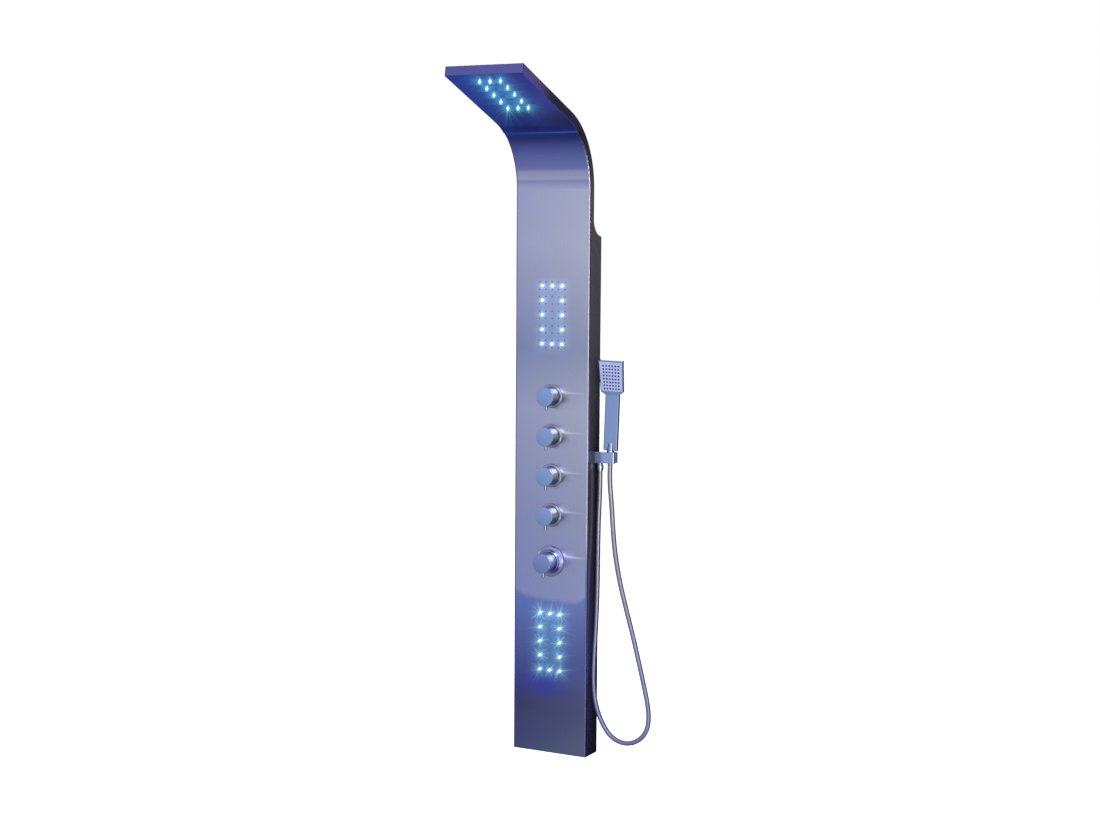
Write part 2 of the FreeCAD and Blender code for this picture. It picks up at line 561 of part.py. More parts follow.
inl, nuts = [], []
for sx, nm in ((-1, "hot"), (1, "cold")):
    pts = [(sx * 35.1, 34, MIX_Z), (sx * INLET_DX, 34, MIX_Z), (sx * INLET_DX, 22, 330), (sx * INLET_DX, 22, INLET_Z), (sx * INLET_DX, 49.5, INLET_Z)]
    s, _, _ = pipe(pts, [22.0, 90.0, 22.0], 7.0, 5.03, nm + " inlet hose")
    inl.append(s)
    y0, y1 = 44.0, 49.5 + INLET_LEN
    nut = hexagon(sx * INLET_DX, INLET_Z, 24.0, y0, y1, 7.05, 0)
    nut = nut.cut(cyl((sx * INLET_DX, 49.5, INLET_Z), (0, 1, 0), INLET_THREAD_R, INLET_LEN + 1))
    nuts.append(nut)
keep("inlet_hoses", Part.makeCompound(inl))
keep("inlet_nuts", Part.makeCompound(nuts))

cables = []


def cable(pts, radii, name):
    s, _, _ = pipe(pts, radii, 1.4, None, name)
    cables.append(s)


cable([(3, 53.45, GZ - 2), (3, 53.45, GZ + 20), (11, 54.2, 620), (11, 54.2, 1060), (11, 26, 1090), (11, Y_BD1, 1090)], [20, 60, 8, 6], "upper led cable")
cable([(-3, 53.45, GZ + 2), (-3, 53.45, GZ - 18), (-11, 54.2, 440), (-11, 54.2, 330), (-11, 26, 300), (-11, Y_BD1, 300)], [20, 60, 8, 6], "lower led cable")
x = 16.0
dd = 15.6
s0 = (0, 53.45, GZ - 2)
pts = [s0, (0, 53.45, GZ + 24), (x, 54.2, 640), (x, 54.2, 1225), (x, dd, 1296), (x, dd, Z_ARC)]
w, l, u = rounded(pts, [20, 60, 50, 50])
es = list(w.Edges)
yc = [P(dd, T_ARC + TURN * k / 2.0) for k in (0, 1, 2)]
es.append(Part.Arc(V(x, *yc[0]), V(x, *yc[1]), V(x, *yc[2])).toShape())
ye = P(dd, T_HEAD + GRID_S - 80.05)
es.append(Part.LineSegment(V(x, *yc[2]), V(x, *ye)).toShape())
c3 = sweep_wire(Part.Wire(es), s0, (0, 0, 1), 1.4)
print("head led cable valid", c3.isValid(), "solids", len(c3.Solids))
cables.append(c3)
keep("led_cables", Part.makeCompound(cables))

# --- handset holder and hose outlet -----------------------------------------------------------------------------
HZ = (HOLD_Z0 + HOLD_Z1) / 2.0
hb = box(W / 2 + 0.05, HOLD_X1, HOLD_Y - HOLD_DEPTH / 2, HOLD_Y + HOLD_DEPTH / 2, HOLD_Z0, HOLD_Z1)
vert = [e for e in hb.Edges if e.BoundBox.XLength < 1e-6 and e.BoundBox.YLength < 1e-6 and abs(e.BoundBox.XMin - HOLD_X1) < 1e-6]
hb = hb.makeFillet(8.0, vert)
rim = [e for e in hb.Edges if e.BoundBox.XMin > W / 2 + 0.2 or (e.BoundBox.XLength > 20)]
hb = hb.makeFillet(0.9, rim)
ax = V(math.sin(math.radians(LEAN)), 0, math.cos(math.radians(LEAN)))
c0 = V(SOCKET_X, HOLD_Y, HZ)


def along(a):
    return c0 + ax * a


def turned(points):
    """Turned solid on the socket's axis. points are (radius, distance from mid holder)."""
    vs = [V(r, 0, a) for r, a in points]
    s = Part.Face(Part.makePolygon(vs + [vs[0]])).revolve(V(0, 0, 0), V(0, 0, 1), 360)
    s.rotate(V(0, 0, 0), V(0, 1, 0), LEAN)
    s.translate(c0)
    return s


CONE_R0, CONE_R1 = 7.6, 9.4       # cone radius at a = -13 and a = +14
GAP = 0.3


def cone_r(a):
    return CONE_R0 + (CONE_R1 - CONE_R0) * (a + 13.0) / 27.0


hb = hb.cut(turned([(0, -16), (cone_r(-16) + GAP, -16), (cone_r(16) + GAP, 16), (0, 16)]))
hb = hb.cut(box(SOCKET_X, HOLD_X1 + 5, HOLD_Y - 6.7, HOLD_Y + 6.7, HOLD_Z0 - 2, HOLD_Z1 + 2))
hb = hb.fuse([cyl((OUT_X, HOLD_Y, HOLD_Z0 + 1), (0, 0, -1), 6.5, 12.0), cyl((W / 2 + 1, HOLD_Y, HZ), (-1, 0, 0), 8.0, 15.0), cyl((W / 2 + 1, HOLD_Y, HZ), (-1, 0, 0), 5.0, 31.0)])
hb = hb.cut(cyl((OUT_X, HOLD_Y, HZ), (0, 0, -1), 3.8, 40)).cut(cyl((OUT_X, HOLD_Y, HZ), (-1, 0, 0), 3.8, 60))
keep("holder_block", hb.removeSplitter())
r6 = 26.0 / 2 / math.cos(math.radians(30))
vs = [V(92.4, HOLD_Y + r6 * math.cos(math.radians(60 * i)), HZ + r6 * math.sin(math.radians(60 * i))) for i in range(7)]
bn = Part.Face(Part.makePolygon(vs)).extrude(V(6.35, 0, 0)).cut(cyl((90, HOLD_Y, HZ), (1, 0, 0), 8.05, 10))
bn = bn.common(box(90, 99, HOLD_Y - 13.0, T - 1.3, HZ - 20, HZ + 20))
keep("holder_backnut", bn)


def turned_z(points, x, y):
    vs = [V(r, 0, z) for r, z in points]
    s = Part.Face(Part.makePolygon(vs + [vs[0]])).revolve(V(0, 0, 0), V(0, 0, 1), 360)
    s.translate(V(x, y, 0))
    return s


hn = turned_z([(0, 702.0), (6.7, 702.0), (7.4, 705.0), (8.3, 708.2), (8.45, 710.0), (8.45, 713.0), (8.1, 714.6), (7.2, 716.2), (6.9, 717.6), (6.55, 717.6), (6.55, 709.5), (0, 709.5)], OUT_X, HOLD_Y)
hn = hn.cut(cyl((OUT_X, HOLD_Y, 700), (0, 0, 1), 3.8, 12))
keep("hose_nut", hn)

# --- the hose ------------------------------------------------------------------------------------------------------
HOSE = [
    (109.0, 50.0, 702.0),
    (109.0, 50.0, 652.4),
    (107.4, 47.5, 591.0),
    (107.9, 43.6, 523.0),
    (110.2, 39.2, 452.0),
    (111.1, 35.0, 381.4),
    (110.6, 31.0, 313.9),
    (108.5, 27.7, 255.2),
    (107.8, 25.6, 205.2),
    (109.6, 24.9, 164.8),
    (114.6, 25.8, 131.2),
    (123.1, 27.8, 101.8),
    (135.8, 30.2, 75.1),
    (153.5, 32.1, 52.0),
    (179.2, 33.7, 39.7),
    (207.5, 36.2, 40.8),
    (232.1, 39.2, 54.9),
    (247.3, 41.9, 79.0),
    (250.4, 43.5, 110.3),
    (245.0, 44.2, 147.4),
    (233.5, 44.3, 193.2),
    (220.3, 43.9, 246.3),
    (205.0, 43.7, 304.9),
    (186.7, 43.7, 367.1),
    (168.4, 44.3, 430.5),
    (153.8, 45.8, 499.2),
    (145.8, 47.7, 565.7),
    (140.9, 49.4, 627.0),
    (134.407, 50.0, 678.93),
    (135.869, 50.0, 723.007),
]
if HOSE:
    hose, hose_len, hose_radii = pipe(HOSE, [None] * (len(HOSE) - 2), HOSE_R, None, "shower_hose")
    print("hose radii", " ".join("%.0f" % q for q in hose_radii))
    keep("shower_hose", hose)

# --- cone and handset ---------------------------------------------------------------------------------------------------
hc = turned([(0, -13.0), (CONE_R0 - 0.6, -13.0), (CONE_R0, -12.4), (CONE_R1, 14.0), (CONE_R1 + 0.25, 14.7), (CONE_R1 - 0.1, 15.5), (8.4, 15.9), (8.4, 16.9), (6.6, 16.95), (6.6, 28.5), (0, 28.5)])
hc = hc.cut(Part.makeCylinder(3.8, 60, along(-14), ax))
keep("hose_cone", hc)

HB0 = 17.0                     # handle's lower end
HANDLE_L, HANDLE_W, HANDLE_T = 138.4, 35.5, 11.5
HEAD_H, HEAD_W0, HEAD_W1, HEAD_T = 81.8, 57.0, 61.5, 9.5
TILT = 15.0
FACING = 8.0                   # the handset is turned this far in its holder, towards the right
ZH = HB0 + HANDLE_L + 5.0      # lower edge of the spray head

handle = box(-HANDLE_W / 2, HANDLE_W / 2, -HANDLE_T / 2, HANDLE_T / 2, HB0, HB0 + HANDLE_L + 9)
ve = [e for e in handle.Edges if e.BoundBox.ZLength > 100]
handle = handle.makeFillet(3.0, ve)
be = [e for e in handle.Edges if e.BoundBox.ZMax < HB0 + 1e-3]
handle = handle.makeFillet(1.0, be)
# rounded boss round the threaded inlet, running out into the flat handle
boss = [(0, 0.0), (8.5, 0.0), (9.2, 0.8), (9.25, 2.5), (9.15, 5.0), (8.9, 8.0), (8.5, 11.0), (7.9, 14.0), (7.1, 17.0), (6.1, 20.0), (4.8, 23.0), (3.2, 26.0), (0, 29.0)]
w = Part.makePolygon([V(r, 0, HB0 + a) for r, a in boss + [boss[0]]])
handle = handle.fuse(Part.Face(w).revolve(V(0, 0, 0), V(0, 0, 1), 360))
# outline of the head seen from the front, lower edge at z = 0
out = [(-HANDLE_W / 2, -5.0), (HANDLE_W / 2, -5.0), (HEAD_W0 / 2, 2.2), (HEAD_W1 / 2, HEAD_H), (-HEAD_W1 / 2, HEAD_H), (-HEAD_W0 / 2, 2.2)]
w = Part.makePolygon([V(x, -HEAD_T, z) for x, z in out + [out[0]]])
head = Part.Face(w).extrude(V(0, HEAD_T, 0))
he = [e for e in head.Edges if e.BoundBox.ZMin > -4.5]
head = head.makeFillet(1.2, he)
pocket_out = [(-26.2, 4.8), (26.2, 4.8), (28.3, HEAD_H - 3.0), (-28.3, HEAD_H - 3.0)]
w = Part.makePolygon([V(x, -HEAD_T - 1, z) for x, z in pocket_out + [pocket_out[0]]])
pocket = Part.Face(w).extrude(V(0, 7.0, 0))
head = head.cut(pocket)


def tilt_head(s):
    s = s.copy()
    s.rotate(V(0, 0, 0), V(1, 0, 0), TILT)
    s.translate(V(0, 0.5, ZH))
    return s


def place_handset(s):
    s = s.copy()
    s.rotate(V(0, 0, 0), V(0, 0, 1), FACING)
    s.rotate(V(0, 0, 0), V(0, 1, 0), LEAN)
    s.translate(c0)
    return s


hs_body = handle.fuse(tilt_head(head))
hs_body = hs_body.cut(tilt_head(pocket))
hs_body = hs_body.cut(Part.makeCylinder(6.65, 12.0, V(0, 0, HB0 - 0.1), V(0, 0, 1)))
hs_body = hs_body.cut(Part.makeCylinder(4.0, HANDLE_L + 12, V(0, 0, HB0), V(0, 0, 1)))
hs_body = hs_body.removeSplitter()
keep("handset_body", place_handset(hs_body))
w = Part.makePolygon([V(x * 0.995, -HEAD_T - 0.5, z + (0.15 if z < 20 else -0.15)) for x, z in pocket_out + [pocket_out[0]]])
fp = Part.Face(w).extrude(V(0, 2.2, 0))
COLS, ROWS = 6, 8
HN = []
for j in range(ROWS):
    z = 10.8 + j * 58.0 / (ROWS - 1)
    half = 18.2 + 0.9 * j / (ROWS - 1)
    for i in range(COLS):
        HN.append((-half + 2 * half * i / (COLS - 1), z))
fp = fp.cut(Part.makeCompound([cyl((x, -HEAD_T - 2, z), (0, 1, 0), 2.3, 6) for x, z in HN]))
keep("handset_face", place_handset(tilt_head(fp)))
nm = Part.makePolygon([V(x * 0.99, -HEAD_T + 1.75, z + (0.3 if z < 20 else -0.3)) for x, z in pocket_out + [pocket_out[0]]])
nm = Part.Face(nm).extrude(V(0, 1.4, 0))
nm = nm.fuse([revolve([(0, -HEAD_T + 2.0), (2.25, -HEAD_T + 2.0), (2.25, -HEAD_T - 0.2), (1.5, -HEAD_T - 1.2), (0, -HEAD_T - 1.2)], x, z) for x, z in HN])
nm = nm.cut(Part.makeCompound([cyl((x, -HEAD_T - 3, z), (0, 1, 0), 0.5, 8) for x, z in HN]))
keep("handset_nozzles", place_handset(tilt_head(nm)))

# --- write ------------------------------------------------------------------------------------------------------------------
move = V(0, -T, -ZB)
bad = []
for name, s in shapes.items():
    s = s.copy()
    s.translate(move)
    if not s.isValid():
        bad.append(name)
    if s.ShapeType == "Compound" and len(s.Solids) == 1:
        s = s.Solids[0]
    s.exportStep("parts/" + name + ".step")
    bb = s.BoundBox
    print("%-22s solids %3d faces %4d vol %9.1f  x %.1f..%.1f y %.1f..%.1f z %.1f..%.1f" % (
        name, len(s.Solids), len(s.Faces), s.Volume, bb.XMin, bb.XMax, bb.YMin, bb.YMax, bb.ZMin, bb.ZMax))
print(len(shapes), "nodes; invalid:", bad)
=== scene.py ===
import bpy
import bmesh
import json
import math
from mathutils import Matrix, Vector


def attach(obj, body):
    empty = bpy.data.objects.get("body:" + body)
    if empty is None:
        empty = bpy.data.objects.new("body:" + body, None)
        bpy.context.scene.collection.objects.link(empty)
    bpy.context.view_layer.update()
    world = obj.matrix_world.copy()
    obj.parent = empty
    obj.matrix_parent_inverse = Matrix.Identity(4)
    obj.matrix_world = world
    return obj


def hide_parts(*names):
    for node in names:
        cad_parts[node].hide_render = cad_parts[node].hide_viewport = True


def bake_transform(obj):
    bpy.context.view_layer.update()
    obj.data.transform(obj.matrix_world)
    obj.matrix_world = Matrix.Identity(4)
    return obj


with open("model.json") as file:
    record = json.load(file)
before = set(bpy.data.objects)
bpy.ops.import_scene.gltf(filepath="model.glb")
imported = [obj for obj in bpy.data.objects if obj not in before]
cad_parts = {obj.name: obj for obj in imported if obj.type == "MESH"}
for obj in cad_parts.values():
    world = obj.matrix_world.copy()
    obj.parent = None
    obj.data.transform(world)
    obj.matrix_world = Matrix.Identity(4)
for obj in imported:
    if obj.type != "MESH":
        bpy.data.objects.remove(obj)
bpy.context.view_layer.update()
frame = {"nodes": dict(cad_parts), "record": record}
nodes = frame["nodes"]
scene = bpy.context.scene

# ---------------------------------------------------------------------------
# camera, at the photograph's angle
# ---------------------------------------------------------------------------
YAW, PITCH, ROLL = 0.4848, 0.0896, 0.0072
FOCAL = 1849.95
cy_, sy_ = math.cos(YAW), math.sin(YAW)
cp_, sp_ = math.cos(PITCH), math.sin(PITCH)
fwd = Vector((-sy_ * cp_, cy_ * cp_, -sp_))
right = Vector((cy_, sy_, 0.0))
up = right.cross(fwd)
cr_, sr_ = math.cos(ROLL), math.sin(ROLL)
right2 = right * cr_ + up * sr_
up2 = up * cr_ - right * sr_
cam_data = bpy.data.cameras.new("camera")
cam = bpy.data.objects.new("camera", cam_data)
scene.collection.objects.link(cam)
m = Matrix.Identity(4)
for i in range(3):
    m[i][0], m[i][1], m[i][2] = right2[i], up2[i], -fwd[i]
m.translation = Vector((2.08406, -4.02687, 0.0466))
cam.matrix_world = m
cam_data.sensor_width = 36.0
cam_data.lens = FOCAL / 1100.0 * 36.0
cam_data.clip_start, cam_data.clip_end = 0.05, 200.0
scene.camera = cam

# ---------------------------------------------------------------------------
# numbers shared with the solids, in the row frame (metres)
# ---------------------------------------------------------------------------
T, ZB = 63.0, 1200.0


def row(x, y, z):
    return Vector((x / 1000.0, (y - T) / 1000.0, (z - ZB) / 1000.0))


Z_ARC, R_ARC, TURN, L_HEAD = 1382.5, 165.0, 69.0, 251.0
PHI_SEAM = 52.3
VALVE_Z = [883.0, 786.0, 689.0, 592.0]
MIX_Z = 478.0
GRID_Z = [1080.0, 277.0]
GRID_S = L_HEAD - 105.0
CA, SA = math.cos(math.radians(TURN)), math.sin(math.radians(TURN))
ZC = (Z_ARC - ZB) / 1000.0          # centre of the curve
YC = (-R_ARC - T) / 1000.0

# ---------------------------------------------------------------------------
# small builders
# ---------------------------------------------------------------------------


def srgb(r, g, b):
    out = []
    for c in (r, g, b):
        c = c / 255.0
        out.append(c / 12.92 if c <= 0.04045 else ((c + 0.055) / 1.055) ** 2.4)
    return (out[0], out[1], out[2], 1.0)


class Mat:
    """A material with a Principled shader and short calls to add nodes."""

    def __init__(self, name, metallic=0.0, rough=0.5, color=(0.8, 0.8, 0.8, 1.0)):
        self.m = bpy.data.materials.new(name)
        self.m.use_nodes = True
        self.nt = self.m.node_tree
        self.nt.nodes.clear()
        self.out = self.nt.nodes.new("ShaderNodeOutputMaterial")
        self.bsdf = self.nt.nodes.new("ShaderNodeBsdfPrincipled")
        self.nt.links.new(self.bsdf.outputs[0], self.out.inputs[0])
        self.bsdf.inputs["Metallic"].default_value = metallic
        self.bsdf.inputs["Roughness"].default_value = rough
        self.bsdf.inputs["Base Color"].default_value = color
        self.tc = self.nt.nodes.new("ShaderNodeTexCoord")
        self.obj = self.tc.outputs["Object"]

    def new(self, kind, **props):
        n = self.nt.nodes.new(kind)
        for k, v in props.items():
            setattr(n, k, v)
        return n

    def link(self, a, b):
        if hasattr(a, "is_output") or isinstance(a, bpy.types.NodeSocket):
            self.nt.links.new(a, b)
        else:
            b.default_value = a

    def set(self, name, value):
        self.link(value, self.bsdf.inputs[name])

    def math(self, op, a, b=None, c=None, clamp=False):
        n = self.new("ShaderNodeMath", operation=op, use_clamp=clamp)
        self.link(a, n.inputs[0])
        if b is not None:
            self.link(b, n.inputs[1])
        if c is not None:
            self.link(c, n.inputs[2])
        return n.outputs[0]

    def vmath(self, op, a, b=None, scale=None):
        n = self.new("ShaderNodeVectorMath", operation=op)
        self.link(a, n.inputs[0])
        if b is not None:
            self.link(b, n.inputs[1])
        if scale is not None:
            self.link(scale, n.inputs["Scale"])
        return n.outputs["Value"] if op in ("LENGTH", "DISTANCE", "DOT_PRODUCT") else n.outputs[0]

    def xyz(self, v=None):
        n = self.new("ShaderNodeSeparateXYZ")
        self.link(self.obj if v is None else v, n.inputs[0])
        return n.outputs[0], n.outputs[1], n.outputs[2]

    def combine(self, x, y, z):
        n = self.new("ShaderNodeCombineXYZ")
        for s, v in zip(n.inputs, (x, y, z)):
            self.link(v, s)
        return n.outputs[0]

    def scaled(self, sx, sy, sz, v=None):
        n = self.new("ShaderNodeMapping")
        self.link(self.obj if v is None else v, n.inputs["Vector"])
        n.inputs["Scale"].default_value = (sx, sy, sz)
        return n.outputs[0]

    def noise(self, scale, detail=3.0, rough=0.5, vec=None, distortion=0.0):
        n = self.new("ShaderNodeTexNoise")
        self.link(self.obj if vec is None else vec, n.inputs["Vector"])
        n.inputs["Scale"].default_value = scale
        n.inputs["Detail"].default_value = detail
        n.inputs["Roughness"].default_value = rough
        n.inputs["Distortion"].default_value = distortion
        return n.outputs["Fac"]

    def voronoi(self, scale, vec=None, feature="F1"):
        n = self.new("ShaderNodeTexVoronoi", feature=feature)
        self.link(self.obj if vec is None else vec, n.inputs["Vector"])
        n.inputs["Scale"].default_value = scale
        return n.outputs["Distance"]

    def remap(self, v, a, b, c, d, smooth=False):
        n = self.new("ShaderNodeMapRange", clamp=True, interpolation_type="SMOOTHSTEP" if smooth else "LINEAR")
        self.link(v, n.inputs["Value"])
        for k, x in (("From Min", a), ("From Max", b), ("To Min", c), ("To Max", d)):
            n.inputs[k].default_value = x
        return n.outputs["Result"]

    def ramp(self, fac, stops, interp="LINEAR"):
        n = self.new("ShaderNodeValToRGB")
        n.color_ramp.interpolation = interp
        e = n.color_ramp.elements
        while len(e) > 1:
            e.remove(e[-1])
        e[0].position = stops[0][0]
        e[0].color = stops[0][1]
        for p, c in stops[1:]:
            e.new(p).color = c
        self.link(fac, n.inputs["Fac"])
        return n.outputs["Color"]

    def mix(self, fac, a, b, mode="MIX"):
        n = self.new("ShaderNodeMix", data_type="RGBA", blend_type=mode)
        self.link(fac, n.inputs[0])
        self.link(a, n.inputs[6])
        self.link(b, n.inputs[7])
        return n.outputs[2]

    def bump(self, height, strength=0.2, distance=0.001, normal=None):
        n = self.new("ShaderNodeBump")
        self.link(height, n.inputs["Height"])
        n.inputs["Strength"].default_value = strength
        n.inputs["Distance"].default_value = distance
        if normal is not None:
            self.link(normal, n.inputs["Normal"])
        return n.outputs[0]

    def gauss(self, d, sigma):
        q = self.math("DIVIDE", d, sigma)
        q = self.math("MULTIPLY", q, q)
        q = self.math("MULTIPLY", q, -1.0)
        return self.math("EXPONENT", q)


def link_object(name, mesh, body=None, mat=None, smooth=35.0):
    o = bpy.data.objects.new(name, mesh)
    scene.collection.objects.link(o)
    if mat is not None:
        mesh.materials.clear()
        mesh.materials.append(mat)
    if smooth is not None:
        shade(mesh, smooth)
    if body is not None:
        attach(o, body)
    return o


def shade(mesh, angle):
    """Smooth shading with sharp edges above the angle."""
    bm = bmesh.new()
    bm.from_mesh(mesh)
    lim = math.radians(angle)
    for f in bm.faces:
        f.smooth = True
    for e in bm.edges:
        e.smooth = not (len(e.link_faces) == 2 and e.calc_face_angle(0.0) > lim)
    bm.to_mesh(mesh)
    bm.free()


def lathe(name, profile, x, z, seg=96, body=None, mat=None, smooth=35.0, closed=False):
    """Turned piece about a line parallel to Y. profile holds (radius, y) in panel millimetres, from front to back."""
    bm = bmesh.new()
    rings = []
    for r, y in profile:
        if r <= 1e-6:
            rings.append([bm.verts.new(row(x, y, z))])
        else:
            rings.append([bm.verts.new(row(x + r * math.sin(2 * math.pi * k / seg), y, z + r * math.cos(2 * math.pi * k / seg))) for k in range(seg)])
    pairs = list(zip(rings[:-1], rings[1:]))
    if closed:
        pairs.append((rings[-1], rings[0]))
    for a, b in pairs:
        for k in range(seg):
            k2 = (k + 1) % seg
            if len(a) == 1 and len(b) == 1:
                continue
            if len(a) == 1:
                bm.faces.new((a[0], b[k2], b[k]))
            elif len(b) == 1:
                bm.faces.new((a[k], a[k2], b[0]))
            else:
                bm.faces.new((a[k], a[k2], b[k2], b[k]))
    bmesh.ops.recalc_face_normals(bm, faces=bm.faces)
    me = bpy.data.meshes.new(name)
    bm.to_mesh(me)
    bm.free()
    return link_object(name, me, body, mat, smooth)


def arc_pts(cx, cy, r, a0, a1, n):
    return [(cx + r * math.cos(math.radians(a0 + (a1 - a0) * k / n)), cy + r * math.sin(math.radians(a0 + (a1 - a0) * k / n))) for k in range(n + 1)]


# ---------------------------------------------------------------------------
# the hose, first of all: one smooth line from the outlet to the handset's cone
# ---------------------------------------------------------------------------
HOSE = [
    (109.0, 50.0, 702.0),
    (109.0, 50.0, 652.4),
    (107.4, 47.5, 591.0),
    (107.9, 43.6, 523.0),
    (110.2, 39.2, 452.0),
    (111.1, 35.0, 381.4),
    (110.6, 31.0, 313.9),
    (108.5, 27.7, 255.2),
    (107.8, 25.6, 205.2),
    (109.6, 24.9, 164.8),
    (114.6, 25.8, 131.2),
    (123.1, 27.8, 101.8),
    (135.8, 30.2, 75.1),
    (153.5, 32.1, 52.0),
    (179.2, 33.7, 39.7),
    (207.5, 36.2, 40.8),
    (232.1, 39.2, 54.9),
    (247.3, 41.9, 79.0),
    (250.4, 43.5, 110.3),
    (245.0, 44.2, 147.4),
    (233.5, 44.3, 193.2),
    (220.3, 43.9, 246.3),
    (205.0, 43.7, 304.9),
    (186.7, 43.7, 367.1),
    (168.4, 44.3, 430.5),
    (153.8, 45.8, 499.2),
    (145.8, 47.7, 565.7),
    (140.9, 49.4, 627.0),
    (134.407, 50.0, 678.93),
    (135.869, 50.0, 723.007),
]
HOSE_R = 0.006


def spline_points(name, pts, resolution=16):
    cu = bpy.data.curves.new(name, "CURVE")
    cu.dimensions = "3D"
    cu.resolution_u = resolution
    sp = cu.splines.new("NURBS")
    sp.points.add(len(pts) - 1)
    for q, p in zip(sp.points, pts):
        q.co = (p[0], p[1], p[2], 1.0)
    sp.order_u = 3
    sp.use_endpoint_u = True
    sp.resolution_u = resolution
    o = bpy.data.objects.new(name, cu)
    scene.collection.objects.link(o)
    bpy.context.view_layer.update()
    me = bpy.data.meshes.new_from_object(o)
    out = [Vector(v.co) for v in me.vertices]
    bpy.data.objects.remove(o)
    bpy.data.curves.remove(cu)
    bpy.data.meshes.remove(me)
    return out


def even(pts, step):
    """Points at an even spacing along a line, and the line's length."""
    acc = [0.0]
    for a, b in zip(pts[:-1], pts[1:]):
        acc.append(acc[-1] + (b - a).length)
    total = acc[-1]
    n = max(2, int(round(total / step)))
    out, k = [], 0
    for i in range(n + 1):
        s = total * i / n
        while k < len(acc) - 2 and acc[k + 1] < s:
            k += 1
        seg = acc[k + 1] - acc[k]
        t = 0.0 if seg < 1e-12 else (s - acc[k]) / seg
        out.append(pts[k].lerp(pts[k + 1], t))
    return out, total


def frames_along(pts):
    """A turning-free pair of side vectors at each point."""
    tang = []
    for i in range(len(pts)):
        a, b = pts[max(0, i - 1)], pts[min(len(pts) - 1, i + 1)]
        tang.append((b - a).normalized())
    u = tang[0].orthogonal().normalized()
    out = []
    for i, t in enumerate(tang):
        u = (u - t * u.dot(t)).normalized()
        out.append((u, t.cross(u)))
    return out


def tube_mesh(name, pts, radii, seg=20):
    """A closed tube through the points with a radius at each."""
    fr = frames_along(pts)
    bm = bmesh.new()
    rings = []
    for p, (u, v), r in zip(pts, fr, radii):
        rings.append([bm.verts.new(p + u * (r * math.cos(2 * math.pi * k / seg)) + v * (r * math.sin(2 * math.pi * k / seg))) for k in range(seg)])
    for a, b in zip(rings[:-1], rings[1:]):
        for k in range(seg):
            k2 = (k + 1) % seg
            bm.faces.new((a[k], a[k2], b[k2], b[k]))
    bm.faces.new(rings[0])
    bm.faces.new(rings[-1])
    bmesh.ops.recalc_face_normals(bm, faces=bm.faces)
    me = bpy.data.meshes.new(name)
    bm.to_mesh(me)
    bm.free()
    return me


hose_line = spline_points("hose_line", [row(*p) for p in HOSE], 24)
RIB = 0.0032                        # pitch of the wound metal
hose_pts, hose_len = even(hose_line, RIB / 6.0)
prof = [0.0, 0.14, 0.20, 0.20, 0.14, 0.0]
radii = []
for i in range(len(hose_pts)):
    radii.append(HOSE_R - 0.0002 + 0.001 * prof[i % 6])
hose_mesh = tube_mesh("shower_hose_tube", hose_pts, radii, 22)
HOSE_PATH = [tuple(p) for p in even(hose_line, 0.004)[0]]

# ---------------------------------------------------------------------------
# materials
# ---------------------------------------------------------------------------
LED_DX, LED_DZ = 0.027, 0.0352


def mul(M, *vals):
    out = vals[0]
    for v in vals[1:]:
        out = M.math("MULTIPLY", out, v)
    return out


def add(M, *vals):
    out = vals[0]
    for v in vals[1:]:
        out = M.math("ADD", out, v)
    return out


def sub(M, a, b):
    return M.math("SUBTRACT", a, b)


def grid_distance(M, u, v):
    """Offsets from the nearest light of a grid whose middle is at u = v = 0. The inner places hold none."""
    iu = M.math("ROUND", M.math("DIVIDE", u, LED_DX))
    iu = M.math("MAXIMUM", M.math("MINIMUM", iu, 1.0), -1.0)
    iv = M.math("ROUND", M.math("DIVIDE", v, LED_DZ))
    iv = M.math("MAXIMUM", M.math("MINIMUM", iv, 2.0), -2.0)
    inner = mul(M, M.math("LESS_THAN", M.math("ABSOLUTE", iu), 0.5), M.math("LESS_THAN", M.math("ABSOLUTE", iv), 1.5))
    side = sub(M, M.math("MULTIPLY", M.math("GREATER_THAN", u, 0.0), 2.0), 1.0)
    iu = add(M, iu, mul(M, inner, side))
    du = sub(M, u, mul(M, iu, LED_DX))
    dv = sub(M, v, mul(M, iv, LED_DZ))
    d = M.math("SQRT", add(M, mul(M, du, du), mul(M, dv, dv)))
    return d, du, dv, add(M, mul(M, iu, 3.1), mul(M, iv, 1.7))


